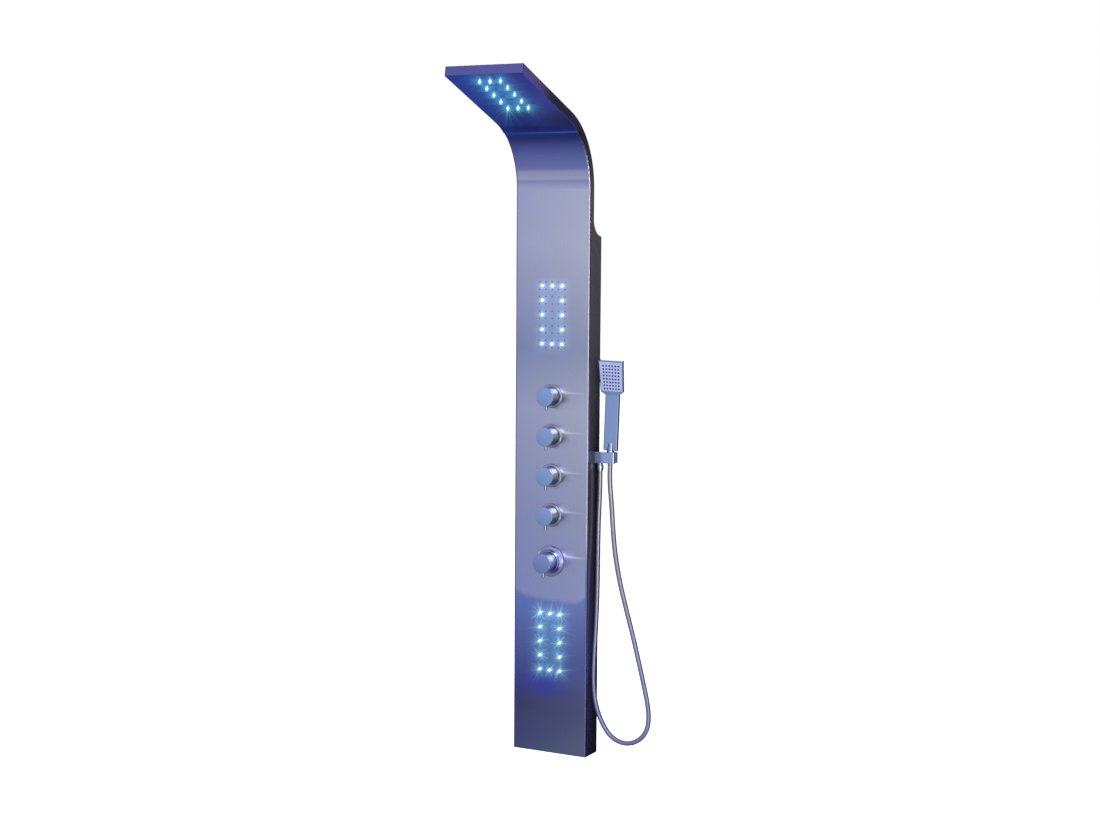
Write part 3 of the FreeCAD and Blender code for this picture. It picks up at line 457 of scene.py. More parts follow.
def glow(M, u, v, lie, core_r, levels, lengths, fall, tilt, seed):
    """Painted light that the lenses of one grid throw on the sheet round them, as emission: a core, a halo, rays and a
    wide wash.
    lie holds the two directions on the sheet along which the light spreads alike, sideways and downwards."""
    d, du, dv, idx = grid_distance(M, u, v)
    core, halo, ray, wash = levels
    halo_len, ray_len, wash_len = lengths
    (a, b), (c, e) = lie
    p = add(M, mul(M, du, a), mul(M, dv, b))
    q = add(M, mul(M, du, c), mul(M, dv, e))
    # drop-shaped core, a little wider below
    wide = add(M, M.math("MULTIPLY", M.math("MAXIMUM", M.math("MINIMUM", M.math("DIVIDE", q, core_r[1]), 1.0), -1.0), 0.28 * fall), 1.0)
    cp = M.math("DIVIDE", M.math("DIVIDE", p, core_r[0]), wide)
    cq = M.math("DIVIDE", add(M, q, M.math("MULTIPLY", p, tilt)), core_r[1])
    spot = M.math("MULTIPLY", M.math("EXPONENT", M.math("MULTIPLY", add(M, mul(M, cp, cp), mul(M, cq, cq)), -1.0)), core)
    r = M.math("SQRT", add(M, mul(M, p, p), mul(M, q, q)))
    h = M.math("MULTIPLY", M.math("EXPONENT", M.math("MULTIPLY", r, -1.0 / halo_len)), halo)
    # painted rays: the brushed surface draws each light out into short uneven rays
    ang = M.math("ARCTAN2", q, p)
    vec = M.combine(M.math("MULTIPLY", M.math("COSINE", ang), 3.7), M.math("MULTIPLY", M.math("SINE", ang), 3.7), add(M, mul(M, idx, 4.7), seed))
    n = M.noise(1.45, 1.0, 0.5, vec)
    t = M.remap(n, 0.47, 0.68, 0.0, 1.0)
    t = mul(M, t, t)
    down = add(M, M.math("MULTIPLY", M.math("MAXIMUM", M.math("DIVIDE", q, add(M, r, 0.0001)), 0.0), 1.5 * fall), 1.0 - 0.7 * fall)
    t = M.math("MULTIPLY", mul(M, t, down, M.math("EXPONENT", M.math("MULTIPLY", r, -1.0 / ray_len))), ray)
    qu = M.math("MAXIMUM", sub(M, M.math("ABSOLUTE", u), 0.027), 0.0)
    qv = M.math("MAXIMUM", sub(M, M.math("ABSOLUTE", v), 0.0704), 0.0)
    w = M.math("SQRT", add(M, mul(M, qu, qu), mul(M, qv, qv)))
    w = M.math("MULTIPLY", M.math("EXPONENT", M.math("MULTIPLY", w, -1.0 / wash_len)), wash)
    # the wash is blotchy
    w = mul(M, w, M.remap(M.noise(95.0, 2.0, 0.5), 0.3, 0.7, 0.55, 1.35))
    return spot, add(M, h, t), w


def head_s(M, y, z):
    """Distance along the head's underside from the end of the curve, less that of the grid's middle."""
    return sub(M, add(M, M.math("MULTIPLY", sub(M, y, YC), -SA), M.math("MULTIPLY", sub(M, z, ZC), CA)), GRID_S / 1000.0)


FLAT_LIE = ((0.90, 0.0), (0.12, -1.0))
HEAD_LIE = ((0.94, -0.505), (-0.027, -0.465))


def lens_light(M, x, y, z, level=1.0, under=1.0):
    """Painted glow of the lenses, as emission colour from all three grids."""
    flat = M.math("LESS_THAN", z, ZC + 0.01)
    hd = mul(M, sub(M, 1.0, flat), under)
    out = None
    for u, v, lie, core_r, levels, lengths, fall, tilt, seed, mask, tints in (
            (x, sub(M, z, (GRID_Z[0] - ZB) / 1000.0), FLAT_LIE, (0.0048, 0.0038), (0.52, 0.60, 0.6, 0.26), (0.0058, 0.0060, 0.0085), 0.0, 0.0, 0.3, flat,
             ((0.80, 0.98, 1.0), (0.26, 0.52, 0.62), (0.015, 0.17, 0.44))),
            (x, sub(M, z, (GRID_Z[1] - ZB) / 1000.0), FLAT_LIE, (0.0050, 0.0029), (0.95, 0.62, 2.1, 0.28), (0.0076, 0.0082, 0.0125), 0.0, 0.35, 5.1, flat,
             ((0.70, 0.98, 0.98), (0.22, 0.56, 0.66), (0.035, 0.28, 0.36))),
            (x, head_s(M, y, z), HEAD_LIE, (0.0023, 0.0054), (1.3, 0.62, 0.70, 0.40), (0.0078, 0.0112, 0.021), 1.0, 0.0, 9.7, hd,
             ((0.66, 1.0, 0.96), (0.10, 0.52, 0.60), (0.050, 0.26, 0.38)))):
        parts = glow(M, u, v, lie, core_r, [k * level for k in levels], lengths, fall, tilt, seed)
        for part, light_tint in zip(parts, tints):
            c = M.vmath("SCALE", light_tint, scale=mul(M, part, mask))
            out = c if out is None else M.vmath("ADD", out, c)
    return out


def brushed(M, rough=0.3, fine=1.0):
    """Fine vertical brushing lines: roughness and bump."""
    n1 = M.noise(1.0, 2.0, 0.6, M.scaled(2600.0, 2600.0, 22.0))
    n2 = M.noise(1.0, 3.0, 0.55, M.scaled(700.0, 700.0, 7.0))
    n = add(M, M.math("MULTIPLY", n1, 0.55), M.math("MULTIPLY", n2, 0.45))
    cloud = M.noise(7.0, 3.0, 0.5)
    M.set("Roughness", add(M, M.remap(n, 0.3, 0.7, rough - 0.012, rough + 0.016), M.remap(cloud, 0.3, 0.7, -0.01, 0.01)))
    M.set("Normal", M.bump(n, 0.0025 * fine, 0.0004))
    M.bsdf.inputs["Anisotropic"].default_value = 0.6
    M.link(M.combine(1.0, 0.0, 0.0), M.bsdf.inputs["Tangent"])
    return n


def front_steel(name):
    """The brushed sheet of front, head and nose, with painted light, shade, reflections and lens glow in its colour
    and emission.
    """
    M = Mat(name, 1.0, 0.3)
    x, y, z = M.xyz()
    # painted light: the steel's lavender-blue cast from the lights, a little brighter to the right, in soft steps by
    # height
    c = M.ramp(M.remap(z, -0.82, ZC, 0.0, 1.0), UPPER)
    # painted reflection: below a curved edge the sheet is darker, as if it mirrored a darker floor
    low = M.ramp(M.remap(z, -1.2, -0.8, 0.0, 1.0), LOWER)
    # edge: flat in the middle, turning up close to both sides
    e1 = M.math("MULTIPLY", M.math("POWER", M.math("MAXIMUM", sub(M, x, 0.060), 0.0), 2.0), 13.0)
    e2 = M.math("MULTIPLY", M.math("POWER", M.math("MAXIMUM", sub(M, -0.050, x), 0.0), 2.0), 6.5)
    edge = add(M, e1, e2, M.math("MULTIPLY", x, -0.042), -0.8195)
    f = M.remap(sub(M, z, edge), -0.006, 0.010, 0.0, 1.0, True)
    c = M.mix(f, low, c)
    # painted light: brighter towards the right, and more so near the foot
    fx = M.remap(x, -0.09, 0.09, 0.0, 1.0)
    gain = M.mix(fx, (0.90, 0.93, 0.98, 1.0), (1.13, 1.11, 1.02, 1.0))
    foot = M.mix(fx, (0.86, 0.87, 0.98, 1.0), (1.50, 1.45, 1.22, 1.0))
    gain = M.mix(M.remap(z, -1.04, -0.95, 1.0, 0.0, True), gain, foot)
    # the curve: a painted sheen band, then falling away into the painted blue light of the head
    ang = M.math("ARCTAN2", sub(M, z, ZC), sub(M, y, YC))
    arc = M.ramp(M.remap(ang, 0.0, math.radians(70.0), 0.0, 1.0), CURVE)
    # head: painted light, blue on the left and violet towards the right, with painted shade beside the curve
    s = add(M, head_s(M, y, z), GRID_S / 1000.0)
    hx = M.mix(M.remap(x, -0.02, 0.09, 0.0, 1.0, True), HEAD_LIGHT_BLUE, HEAD_LIGHT_VIOLET)
    head_shade = mul(M, M.remap(s, 0.0, 0.155, 1.0, 0.0, True), M.remap(x, -0.1, 0.08, 0.35, 1.0))
    hx = M.mix(head_shade, hx, HEAD_SHADE_DARK)
    arc = M.mix(M.remap(ang, math.radians(52.0), math.radians(68.0), 0.0, 1.0, True), arc, hx)
    above = M.math("GREATER_THAN", z, ZC)
    c = M.mix(above, c, arc)
    gain = M.mix(above, gain, (1.0, 1.0, 1.0, 1.0))
    c = M.mix(1.0, c, gain, "MULTIPLY")
    # the sheet's inner face is plain and unlit
    g = M.new("ShaderNodeNewGeometry")
    nx, ny, nz = M.xyz(g.outputs["True Normal"])
    lean = mul(M, M.math("MAXIMUM", M.math("MINIMUM", ang, math.radians(TURN)), 0.0), above)
    face = M.math("MULTIPLY", add(M, mul(M, ny, M.math("COSINE", lean)), mul(M, nz, M.math("SINE", lean))), -1.0)
    c = M.mix(M.remap(face, -0.6, -0.2, 1.0, 0.0), c, srgb(158, 160, 166))
    # the front of the nose, painted with the blue cast of the light
    out_n = add(M, M.math("MULTIPLY", ny, -SA), M.math("MULTIPLY", nz, CA))
    out_n = mul(M, out_n, M.math("GREATER_THAN", z, ZC + 0.1))
    nose = M.mix(M.remap(x, -0.1, 0.1, 0.0, 1.0), NOSE_LIGHT_LEFT, NOSE_LIGHT_RIGHT)
    c = M.mix(M.remap(out_n, 0.6, 0.9, 0.0, 1.0, True), c, nose)
    # folded edges: a painted highlight line on the right, a painted shade line on the left
    r_edge_highlight = M.math("MAXIMUM", M.remap(nx, 0.1, 0.35, 0.0, 1.0, True), M.remap(x, 0.0955, 0.0972, 0.0, 0.75, True))
    l_edge_shade = M.math("MAXIMUM", M.remap(nx, -0.5, -0.15, 1.0, 0.0, True), M.remap(x, -0.0975, -0.0955, 0.7, 0.0, True))
    c = M.mix(r_edge_highlight, c, M.ramp(M.remap(z, -1.2, ZC + 0.13, 0.0, 1.0), RIM_HIGHLIGHT))
    c = M.mix(l_edge_shade, c, RIM_SHADE)
    n = brushed(M, 0.27)
    c = M.mix(0.012, c, M.mix(n, srgb(90, 90, 100), srgb(255, 255, 255)), "OVERLAY")
    # painted pool of deep blue light under the lower grid, mixed into the colour
    blue_light_pool = M.gauss(M.vmath("LENGTH", M.combine(M.math("DIVIDE", add(M, x, 0.016), 0.052), 0.0, M.math("DIVIDE", sub(M, z, (170.0 - ZB) / 1000.0), 0.026))), 1.0)
    c = M.mix(M.math("MULTIPLY", blue_light_pool, 0.55), c, srgb(50, 50, 148))
    M.set("Base Color", c)
    # the lenses' painted glow on the sheet, as emission
    e = lens_light(M, x, y, z, 1.0, M.remap(out_n, 0.4, 0.8, 1.0, 0.0))
    # painted pool of deep blue light under the lower grid, as emission
    e = M.mix(1.0, e, M.vmath("SCALE", (0.004, 0.002, 0.10), scale=blue_light_pool), "ADD")
    # painted light: the head is flooded with its own blue light, as emission, more violet to the right
    flood = M.mix(M.remap(x, -0.03, 0.09, 0.0, 1.0, True), (0.013, 0.033, 0.235, 1.0), (0.021, 0.025, 0.180, 1.0))
    fade = mul(M, sub(M, 1.0, M.math("MULTIPLY", head_shade, 0.74)), M.remap(ang, math.radians(PHI_SEAM + 0.4), math.radians(67.0), 0.10, 1.0, True), M.math("GREATER_THAN", ang, math.radians(PHI_SEAM + 0.4)), above, M.remap(out_n, 0.4, 0.8, 1.0, 0.0))
    e = M.mix(1.0, e, M.vmath("SCALE", flood, scale=fade), "ADD")
    # painted reflections: pale streaks to the right of each knob, as emission
    knob_reflection_streak = None
    for zc, u0, v0, ulen, amp in [(v, 27.0, 9.5, 25.0, 0.50) for v in VALVE_Z] + [(MIX_Z, 38.0, 14.0, 42.0, 0.46)]:
        u = M.math("MULTIPLY", x, 1000.0)
        v = sub(M, M.math("MULTIPLY", z, 1000.0), zc - ZB + v0)
        rise = M.math("MULTIPLY", M.math("MAXIMUM", sub(M, u0 + 9.0, u), 0.0), 0.45)
        v = sub(M, v, rise)
        wid = M.remap(u, u0, u0 + ulen * 1.3, 3.8, 1.9)
        t = mul(M, M.gauss(M.math("DIVIDE", v, wid), 1.0), M.remap(u, u0 - 6.0, u0, 0.0, 1.0), M.math("EXPONENT", M.math("MULTIPLY", M.math("MAXIMUM", sub(M, u, u0), 0.0), -1.0 / ulen)))
        t = mul(M, t, M.remap(u, 92.0, 99.0, 1.0, 0.0))
        t = M.math("MULTIPLY", t, amp)
        knob_reflection_streak = t if knob_reflection_streak is None else add(M, knob_reflection_streak, t)
    e = M.mix(1.0, e, M.vmath("SCALE", (0.75, 0.75, 0.85), scale=knob_reflection_streak), "ADD")
    # painted light in the seam under the curve, as emission
    sd = sub(M, ang, math.radians(PHI_SEAM))
    line = mul(M, M.gauss(sd, 0.009), above, M.remap(x, -0.1, 0.06, 0.15, 1.0), M.remap(M.math("ABSOLUTE", x), 0.096, 0.099, 1.0, 0.0))
    e = M.mix(1.0, e, M.vmath("SCALE", (0.03, 0.17, 0.52), scale=line), "ADD")
    line2 = mul(M, M.gauss(sd, 0.06), above, M.remap(x, -0.1, 0.1, 1.0, 0.25))
    e = M.mix(1.0, e, M.vmath("SCALE", (0.004, 0.012, 0.13), scale=line2), "ADD")
    M.set("Emission Color", M.vmath("SCALE", e, scale=M.remap(face, 0.0, 0.3, 0.0, 1.0)))
    M.bsdf.inputs["Emission Strength"].default_value = 1.0
    return M.m


def metal(name, color, rough, bump=0.02, scale=900.0, light_tint=None, top=None, side=None, metallic=1.0, spot=0.02, rim_rough=None):
    """Plated or machined metal with faint polishing marks. light_tint is painted light on the faces that look
    forwards; top is painted shade on the faces that look up, side painted shade on the faces that look to the right.
    """
    M = Mat(name, metallic, rough, color)
    n = M.noise(scale, 2.0, 0.6)
    s = M.noise(14.0, 4.0, 0.55)
    ro = add(M, M.remap(n, 0.3, 0.7, rough * 0.85, rough * 1.15), M.remap(s, 0.35, 0.75, 0.0, spot))
    if rim_rough is not None:
        g0 = M.new("ShaderNodeNewGeometry")
        fy = M.math("ABSOLUTE", M.xyz(g0.outputs["True Normal"])[1])
        ro = add(M, ro, M.remap(fy, 0.5, 0.9, rim_rough, 0.0, True))
    M.set("Roughness", ro)
    M.set("Normal", M.bump(n, bump, 0.0002))
    dark = tuple(c * 0.92 for c in color[:3]) + (1.0,)
    c = M.mix(M.remap(s, 0.4, 0.7, 0.0, 1.0), color, dark)
    # painted light and shade, by the way each face looks
    if light_tint is not None or top is not None or side is not None:
        g = M.new("ShaderNodeNewGeometry")
        nx, ny, nz = M.xyz(g.outputs["True Normal"])
        if side is not None:
            c = M.mix(M.remap(nx, 0.50, 0.80, 0.0, 1.0, True), c, side)
        if top is not None:
            c = M.mix(M.remap(nz, 0.6, 0.85, 0.0, 1.0, True), c, top)
        if light_tint is not None:
            c = M.mix(M.remap(M.math("MULTIPLY", ny, -1.0), 0.88, 0.97, 0.0, 1.0, True), c, light_tint)
    M.set("Base Color", c)
    return M.m


def plastic(name, color, rough, bump=0.15, scale=1400.0, spread=0.12, coat=0.0, spec=0.5, lens_glow=0.0):
    M = Mat(name, 0.0, rough, color)
    n = M.noise(scale, 2.0, 0.6)
    s = M.noise(24.0, 4.0, 0.55)
    M.set("Roughness", M.remap(n, 0.3, 0.7, max(0.03, rough - 0.06), rough + 0.08))
    M.set("Normal", M.bump(n, bump, 0.0002))
    dark = tuple(c * (1.0 - spread) for c in color[:3]) + (1.0,)
    M.set("Base Color", M.mix(M.remap(s, 0.35, 0.7, 0.0, 1.0), color, dark))
    M.bsdf.inputs["Coat Weight"].default_value = coat
    M.bsdf.inputs["Coat Roughness"].default_value = 0.08
    M.bsdf.inputs["Specular IOR Level"].default_value = spec
    # the lenses' painted glow, as emission
    if lens_glow > 0.0:
        x, y, z = M.xyz()
        M.set("Emission Color", lens_light(M, x, y, z, lens_glow))
        M.bsdf.inputs["Emission Strength"].default_value = 1.0
    return M.m


def side_black(name):
    """Dark gloss lacquer of the side sheets, with painted light and reflections: greyer at the top, bluer below,
    lighter towards the front edge.
    """
    M = Mat(name, 0.0, 0.16)
    x, y, z = M.xyz()
    c = M.ramp(M.remap(z, -1.2, 0.25, 0.0, 1.0), SIDE_TONE)
    # painted shade towards the back edge, in the lower part
    back = mul(M, M.remap(y, -0.056, -0.014, 0.0, 1.0), M.remap(z, -0.42, -0.20, 1.0, 0.1))
    c = M.vmath("SCALE", c, scale=M.remap(back, 0.0, 1.0, 1.15, 0.28))
    # painted light and shade on the sides of the curve and the head
    ang = M.math("ARCTAN2", sub(M, z, ZC), sub(M, y, YC))
    arc = M.ramp(M.remap(ang, 0.0, math.radians(70.0), 0.0, 1.0), SIDE_CURVE)
    s = M.remap(add(M, head_s(M, y, z), GRID_S / 1000.0), 0.09, 0.20, 0.0, 1.0, True)
    hd = M.mix(s, SIDE_HEAD_IN, SIDE_HEAD_OUT)
    arc = M.mix(M.remap(ang, math.radians(60.0), math.radians(69.0), 0.0, 1.0), arc, hd)
    c = M.mix(M.math("GREATER_THAN", z, ZC), c, arc)
    M.set("Base Color", c)
    n = M.noise(420.0, 3.0, 0.5)
    s = M.noise(10.0, 3.0, 0.5)
    M.set("Roughness", M.remap(s, 0.3, 0.7, 0.12, 0.2))
    M.set("Normal", M.bump(n, 0.02, 0.0003))
    M.bsdf.inputs["Specular IOR Level"].default_value = 0.5
    M.bsdf.inputs["Coat Weight"].default_value = 0.04
    M.bsdf.inputs["Coat Roughness"].default_value = 0.05
    return M.m


def escutcheon(name, centres, color, glint_spots, gap_shade, rough, under, rim, rim_shade_level):
    """Polished ring with painted highlights where the knob throws light back on it, and painted shade. glint_spots
    hold (angle, spread, radius, spread, colour, level).
    """
    M = Mat(name, 1.0, rough, color)
    x, y, z = M.xyz()
    zc = None
    mm = M.math("MULTIPLY", z, 1000.0)
    if len(centres) > 1:
        step = (centres[0] - centres[-1]) / (len(centres) - 1)
        k = M.math("ROUND", M.math("DIVIDE", sub(M, mm, centres[-1] - ZB), step))
        v = sub(M, sub(M, mm, centres[-1] - ZB), M.math("MULTIPLY", k, step))
    else:
        v = sub(M, mm, centres[0] - ZB)
    u = M.math("MULTIPLY", x, 1000.0)
    th = M.math("ARCTAN2", v, u)
    r = M.math("SQRT", add(M, mul(M, u, u), mul(M, v, v)))
    # painted shade in the gap at the knob's rim
    c = M.mix(M.remap(r, gap_shade[0], gap_shade[1], 0.0, 1.0, True), (0.03, 0.035, 0.06, 1.0), color)
    # mask of the lower sector, where painted dark blue shade falls below the knob
    low = mul(M, M.remap(th, math.radians(-95.0), math.radians(-50.0), 0.0, 1.0, True), M.remap(th, math.radians(-35.0), math.radians(-12.0), 1.0, 0.0, True))
    # painted shade: darker on the outer bevel
    c = M.vmath("SCALE", c, scale=M.remap(r, rim[0], rim[1], 1.0, rim_shade_level))
    c = M.mix(mul(M, low, under, M.remap(r, 30.0, 33.0, 1.0, 0.0)), c, (0.02, 0.03, 0.20, 1.0))
    M.set("Base Color", c)
    n = M.noise(900.0, 2.0, 0.6)
    M.set("Roughness", M.remap(n, 0.3, 0.7, rough - 0.03, rough + 0.03))
    M.set("Normal", M.bump(n, 0.01, 0.0002))
    # painted highlights, as emission
    e = None
    for a, da, rr, dr, col, lev in glint_spots:
        g = mul(M, M.gauss(sub(M, th, math.radians(a)), math.radians(da)), M.gauss(sub(M, r, rr), dr), lev)
        q = M.vmath("SCALE", col, scale=g)
        e = q if e is None else M.mix(1.0, e, q, "ADD")
    M.set("Emission Color", e)
    M.bsdf.inputs["Emission Strength"].default_value = 1.0
    return M.m


def knob_metal(name, centres, body, face, round_reflection, glints, rear, rough, rim_rough):
    """Plated knob: a front painted with the blue light and a polished side with painted reflections. The pattern on
    the side is held still while the knob turns.
    round_reflection is a ramp by angle of painted reflections; glints hold (angle, spread, depth, spread, colour,
    level) of painted highlights."""
    M = Mat(name, 1.0, rough, body)
    g = M.new("ShaderNodeNewGeometry")
    x, y, z = M.xyz(g.outputs["Position"])
    ny = M.math("ABSOLUTE", M.xyz(g.outputs["True Normal"])[1])
    mm = M.math("MULTIPLY", z, 1000.0)
    v = sub(M, mm, centres[-1] - ZB)
    if len(centres) > 1:
        step = (centres[0] - centres[-1]) / (len(centres) - 1)
        v = sub(M, v, M.math("MULTIPLY", M.math("ROUND", M.math("DIVIDE", v, step)), step))
    u = M.math("MULTIPLY", x, 1000.0)
    th = M.math("ARCTAN2", v, u)
    depth = add(M, M.math("MULTIPLY", y, 1000.0), T)
    side = M.remap(ny, 0.4, 0.85, 1.0, 0.0, True)
    c = M.ramp(M.remap(th, math.radians(-120.0), math.radians(150.0), 0.0, 1.0), round_reflection)
    # painted shade towards the rear edge of the side
    c = M.vmath("SCALE", c, scale=M.remap(depth, rear - 2.4, rear - 0.8, 1.0, 0.5, True))
    # painted blue light on the front, shifting across it
    f = M.mix(M.remap(add(M, u, M.math("MULTIPLY", v, 0.5)), -20.0, 20.0, 0.0, 1.0), face[0], face[1])
    s = M.noise(14.0, 4.0, 0.55)
    c = M.mix(side, f, c)
    c = M.mix(M.remap(s, 0.4, 0.7, 0.0, 0.06), c, (0.05, 0.05, 0.08, 1.0))
    M.set("Base Color", c)
    n = M.noise(900.0, 2.0, 0.6)
    M.set("Roughness", add(M, M.remap(n, 0.3, 0.7, rough * 0.9, rough * 1.1), M.math("MULTIPLY", side, rim_rough)))
    M.set("Normal", M.bump(n, 0.005, 0.0002))
    # painted highlights, as emission
    e = None
    for a, da, dd, sd, col, lev in glints:
        k = mul(M, M.gauss(sub(M, th, math.radians(a)), math.radians(da)), M.gauss(sub(M, depth, dd), sd), lev, side)
        k = M.vmath("SCALE", col, scale=k)
        e = k if e is None else M.vmath("ADD", e, k)
    M.set("Emission Color", e)
    M.bsdf.inputs["Emission Strength"].default_value = 1.0
    return M.m


def pin_metal(name):
    """Small turned rod: a painted highlight along the middle, painted shade to both sides."""
    M = Mat(name, 1.0, 0.12)
    g = M.new("ShaderNodeNewGeometry")
    f = M.vmath("DOT_PRODUCT", g.outputs["True Normal"], (0.42, -0.9075, 0.0))
    n = M.noise(900.0, 2.0, 0.6)
    M.set("Base Color", M.mix(M.remap(f, 0.62, 0.95, 0.0, 1.0, True), (0.02, 0.022, 0.06, 1.0), (0.30, 0.32, 0.50, 1.0)))
    M.set("Roughness", M.remap(n, 0.3, 0.7, 0.1, 0.14))
    return M.m


def hose_metal(name):
    """Wound steel of the hose, with painted light: greyer above and bluer below."""
    M = Mat(name, 1.0, 0.2)
    x, y, z = M.xyz()
    zn = M.remap(z, -1.17, -0.47, 0.0, 1.0)
    c = M.ramp(zn, HOSE_C)
    s = M.noise(30.0, 3.0, 0.5)
    c = M.mix(M.remap(s, 0.35, 0.7, 0.0, 0.12), c, (0.2, 0.2, 0.25, 1.0))
    M.set("Base Color", c)
    M.set("Roughness", M.remap(s, 0.3, 0.7, 0.40, 0.48))
    n = M.noise(900.0, 2.0, 0.6)
    M.set("Normal", M.bump(n, 0.01, 0.0002))
    return M.m


def lens_lit(name):
    """Clear lens with a bright core."""
    M = Mat(name, 0.0, 0.08, (0.75, 0.93, 1.0, 1.0))
    M.bsdf.inputs["IOR"].default_value = 1.49
    n = M.noise(300.0, 2.0, 0.5)
    M.set("Roughness", M.remap(n, 0.3, 0.7, 0.05, 0.12))
    M.set("Emission Color", M.mix(M.remap(n, 0.3, 0.7, 0.0, 0.4), (0.72, 0.96, 1.0, 1.0), (0.85, 0.99, 1.0, 1.0)))
    M.bsdf.inputs["Emission Strength"].default_value = 2.4
    return M.m


def circuit(name):
    M = Mat(name, 0.0, 0.35)
    v = M.voronoi(260.0, M.scaled(1.0, 0.0, 1.0), "F1")
    line = M.math("LESS_THAN", v, 0.16)
    n = M.noise(60.0, 3.0, 0.5)
    base = M.mix(n, srgb(12, 66, 38), srgb(18, 88, 50))
    M.set("Base Color", M.mix(line, base, srgb(190, 178, 120)))
    M.set("Roughness", M.remap(n, 0.3, 0.7, 0.3, 0.45))
    M.set("Normal", M.bump(v, 0.1, 0.0003))
    M.bsdf.inputs["Coat Weight"].default_value = 0.4
    return M.m


def braid(name, pitch, color, dark, metallic=0.9):
    """Woven steel sleeve on the inner hoses."""
    M = Mat(name, metallic, 0.35)
    x, y, z = M.xyz()
    a = M.math("SINE", M.math("MULTIPLY", add(M, z, x), 2 * math.pi / pitch))
    b = M.math("SINE", M.math("MULTIPLY", sub(M, z, x), 2 * math.pi / pitch))
    c2 = M.math("SINE", M.math("MULTIPLY", add(M, z, y), 2 * math.pi / pitch))
    h = M.math("MULTIPLY", add(M, M.math("MAXIMUM", a, b), c2), 0.5)
    M.set("Base Color", M.mix(M.remap(h, -0.6, 0.8, 0.0, 1.0), dark, color))
    M.set("Normal", M.bump(h, 0.5, 0.0004))
    M.set("Roughness", M.remap(h, -1.0, 1.0, 0.5, 0.28))
    return M.m


def stops(lo, hi, *rows):
    return [((v - lo) / (hi - lo), srgb(*col)) for v, col in rows]


# tints of the steel, lacquer and hose with painted light, shade, sheen and reflections in them; heights in panel
# millimetres, the curve in degrees
UPPER = stops(380, 1382.5, (380, (140, 148, 200)), (580, (142, 150, 190)), (850, (158, 163, 196)), (1000, (132, 142, 182)), (1250, (162, 166, 198)), (1382.5, (158, 162, 198)))
LOWER = stops(0, 400, (0, (78, 87, 129)), (110, (68, 74, 116)), (155, (68, 74, 124)), (200, (74, 82, 150)), (400, (110, 126, 195)))
CURVE = stops(0, 70, (0, (158, 162, 198)), (4.5, (148, 152, 192)), (6.5, (132, 138, 188)), (8.5, (160, 168, 205)), (14.5, (158, 164, 205)), (17, (124, 131, 197)), (30, (106, 116, 190)), (46, (56, 68, 150)), (70, (60, 72, 160)))
HEAD_LIGHT_BLUE, HEAD_LIGHT_VIOLET, HEAD_SHADE_DARK = srgb(38, 56, 145), srgb(54, 56, 152), srgb(36, 40, 90)
NOSE_LIGHT_LEFT, NOSE_LIGHT_RIGHT = srgb(84, 89, 152), srgb(90, 89, 158)
RIM_HIGHLIGHT = stops(0, 100, (0, (92, 92, 140)), (30, (96, 98, 150)), (36, (172, 168, 194)), (93, (182, 178, 200)), (100, (90, 92, 130)))
RIM_SHADE = srgb(52, 54, 104)
SIDE_TONE = stops(0, 1450, (0, (16, 20, 44)), (280, (42, 46, 88)), (560, (46, 48, 62)), (1450, (72, 68, 72)))
SIDE_CURVE = stops(0, 70, (0, (72, 69, 73)), (22, (50, 48, 56)), (45, (32, 30, 44)), (70, (44, 40, 76)))
SIDE_HEAD_IN, SIDE_HEAD_OUT = srgb(36, 36, 60), srgb(78, 69, 130)
HOSE_C = [(0.0, (0.18, 0.20, 0.40, 1.0)), (0.3, (0.21, 0.23, 0.40, 1.0)), (0.7, (0.28, 0.27, 0.38, 1.0)), (1.0, (0.38, 0.37, 0.42, 1.0))]

STEEL_FRONT = front_steel("front_steel")
SIDE = side_black("side_lacquer")
BACK = metal("back_steel", srgb(150, 152, 158), 0.38, 0.05, 700.0)
ZINC = metal("zinc_steel", srgb(168, 170, 174), 0.32, 0.1, 260.0)
CHROME = metal("chrome", (0.50, 0.52, 0.60, 1.0), 0.08, 0.01, 900.0)
# painted reflections and highlights round the sides of the knobs, by angle; painted blue light on their fronts
KNOB_ROUND_REFLECTION = stops(-120, 150, (-120, (90, 96, 130)), (-70, (84, 88, 100)), (-45, (78, 79, 70)), (-15, (104, 107, 92)), (4, (146, 150, 138)), (16, (132, 136, 120)), (27, (240, 240, 230)), (54, (240, 242, 238)), (66, (130, 134, 196)), (100, (140, 146, 206)), (150, (140, 150, 205)))
KNOB_FACE = knob_metal("chrome_knob", VALVE_Z, (0.56, 0.59, 0.57, 1.0), ((0.20, 0.305, 0.56, 1.0), (0.235, 0.335, 0.68, 1.0)), KNOB_ROUND_REFLECTION,
                       [(41, 14, -20.0, 12.0, (0.95, 1.0, 0.92), 0.55), (4, 9, -17.0, 5.0, (0.9, 1.0, 0.9), 0.05)], -4.3, 0.07, 0.16)
MIX_ROUND_REFLECTION = stops(-120, 150, (-120, (100, 110, 185)), (-70, (112, 120, 195)), (-40, (128, 138, 205)), (-10, (130, 138, 185)), (12, (150, 158, 190)), (26, (232, 240, 252)), (52, (226, 236, 252)), (70, (140, 148, 205)), (150, (140, 150, 205)))
MIX_FACE = knob_metal("chrome_mixer", [MIX_Z], (0.46, 0.50, 0.70, 1.0), ((0.165, 0.235, 0.51, 1.0), (0.215, 0.265, 0.56, 1.0)), MIX_ROUND_REFLECTION,
                      [(40, 14, -34.0, 9.0, (0.9, 0.97, 1.0), 0.55)], -12.7, 0.07, 0.14)
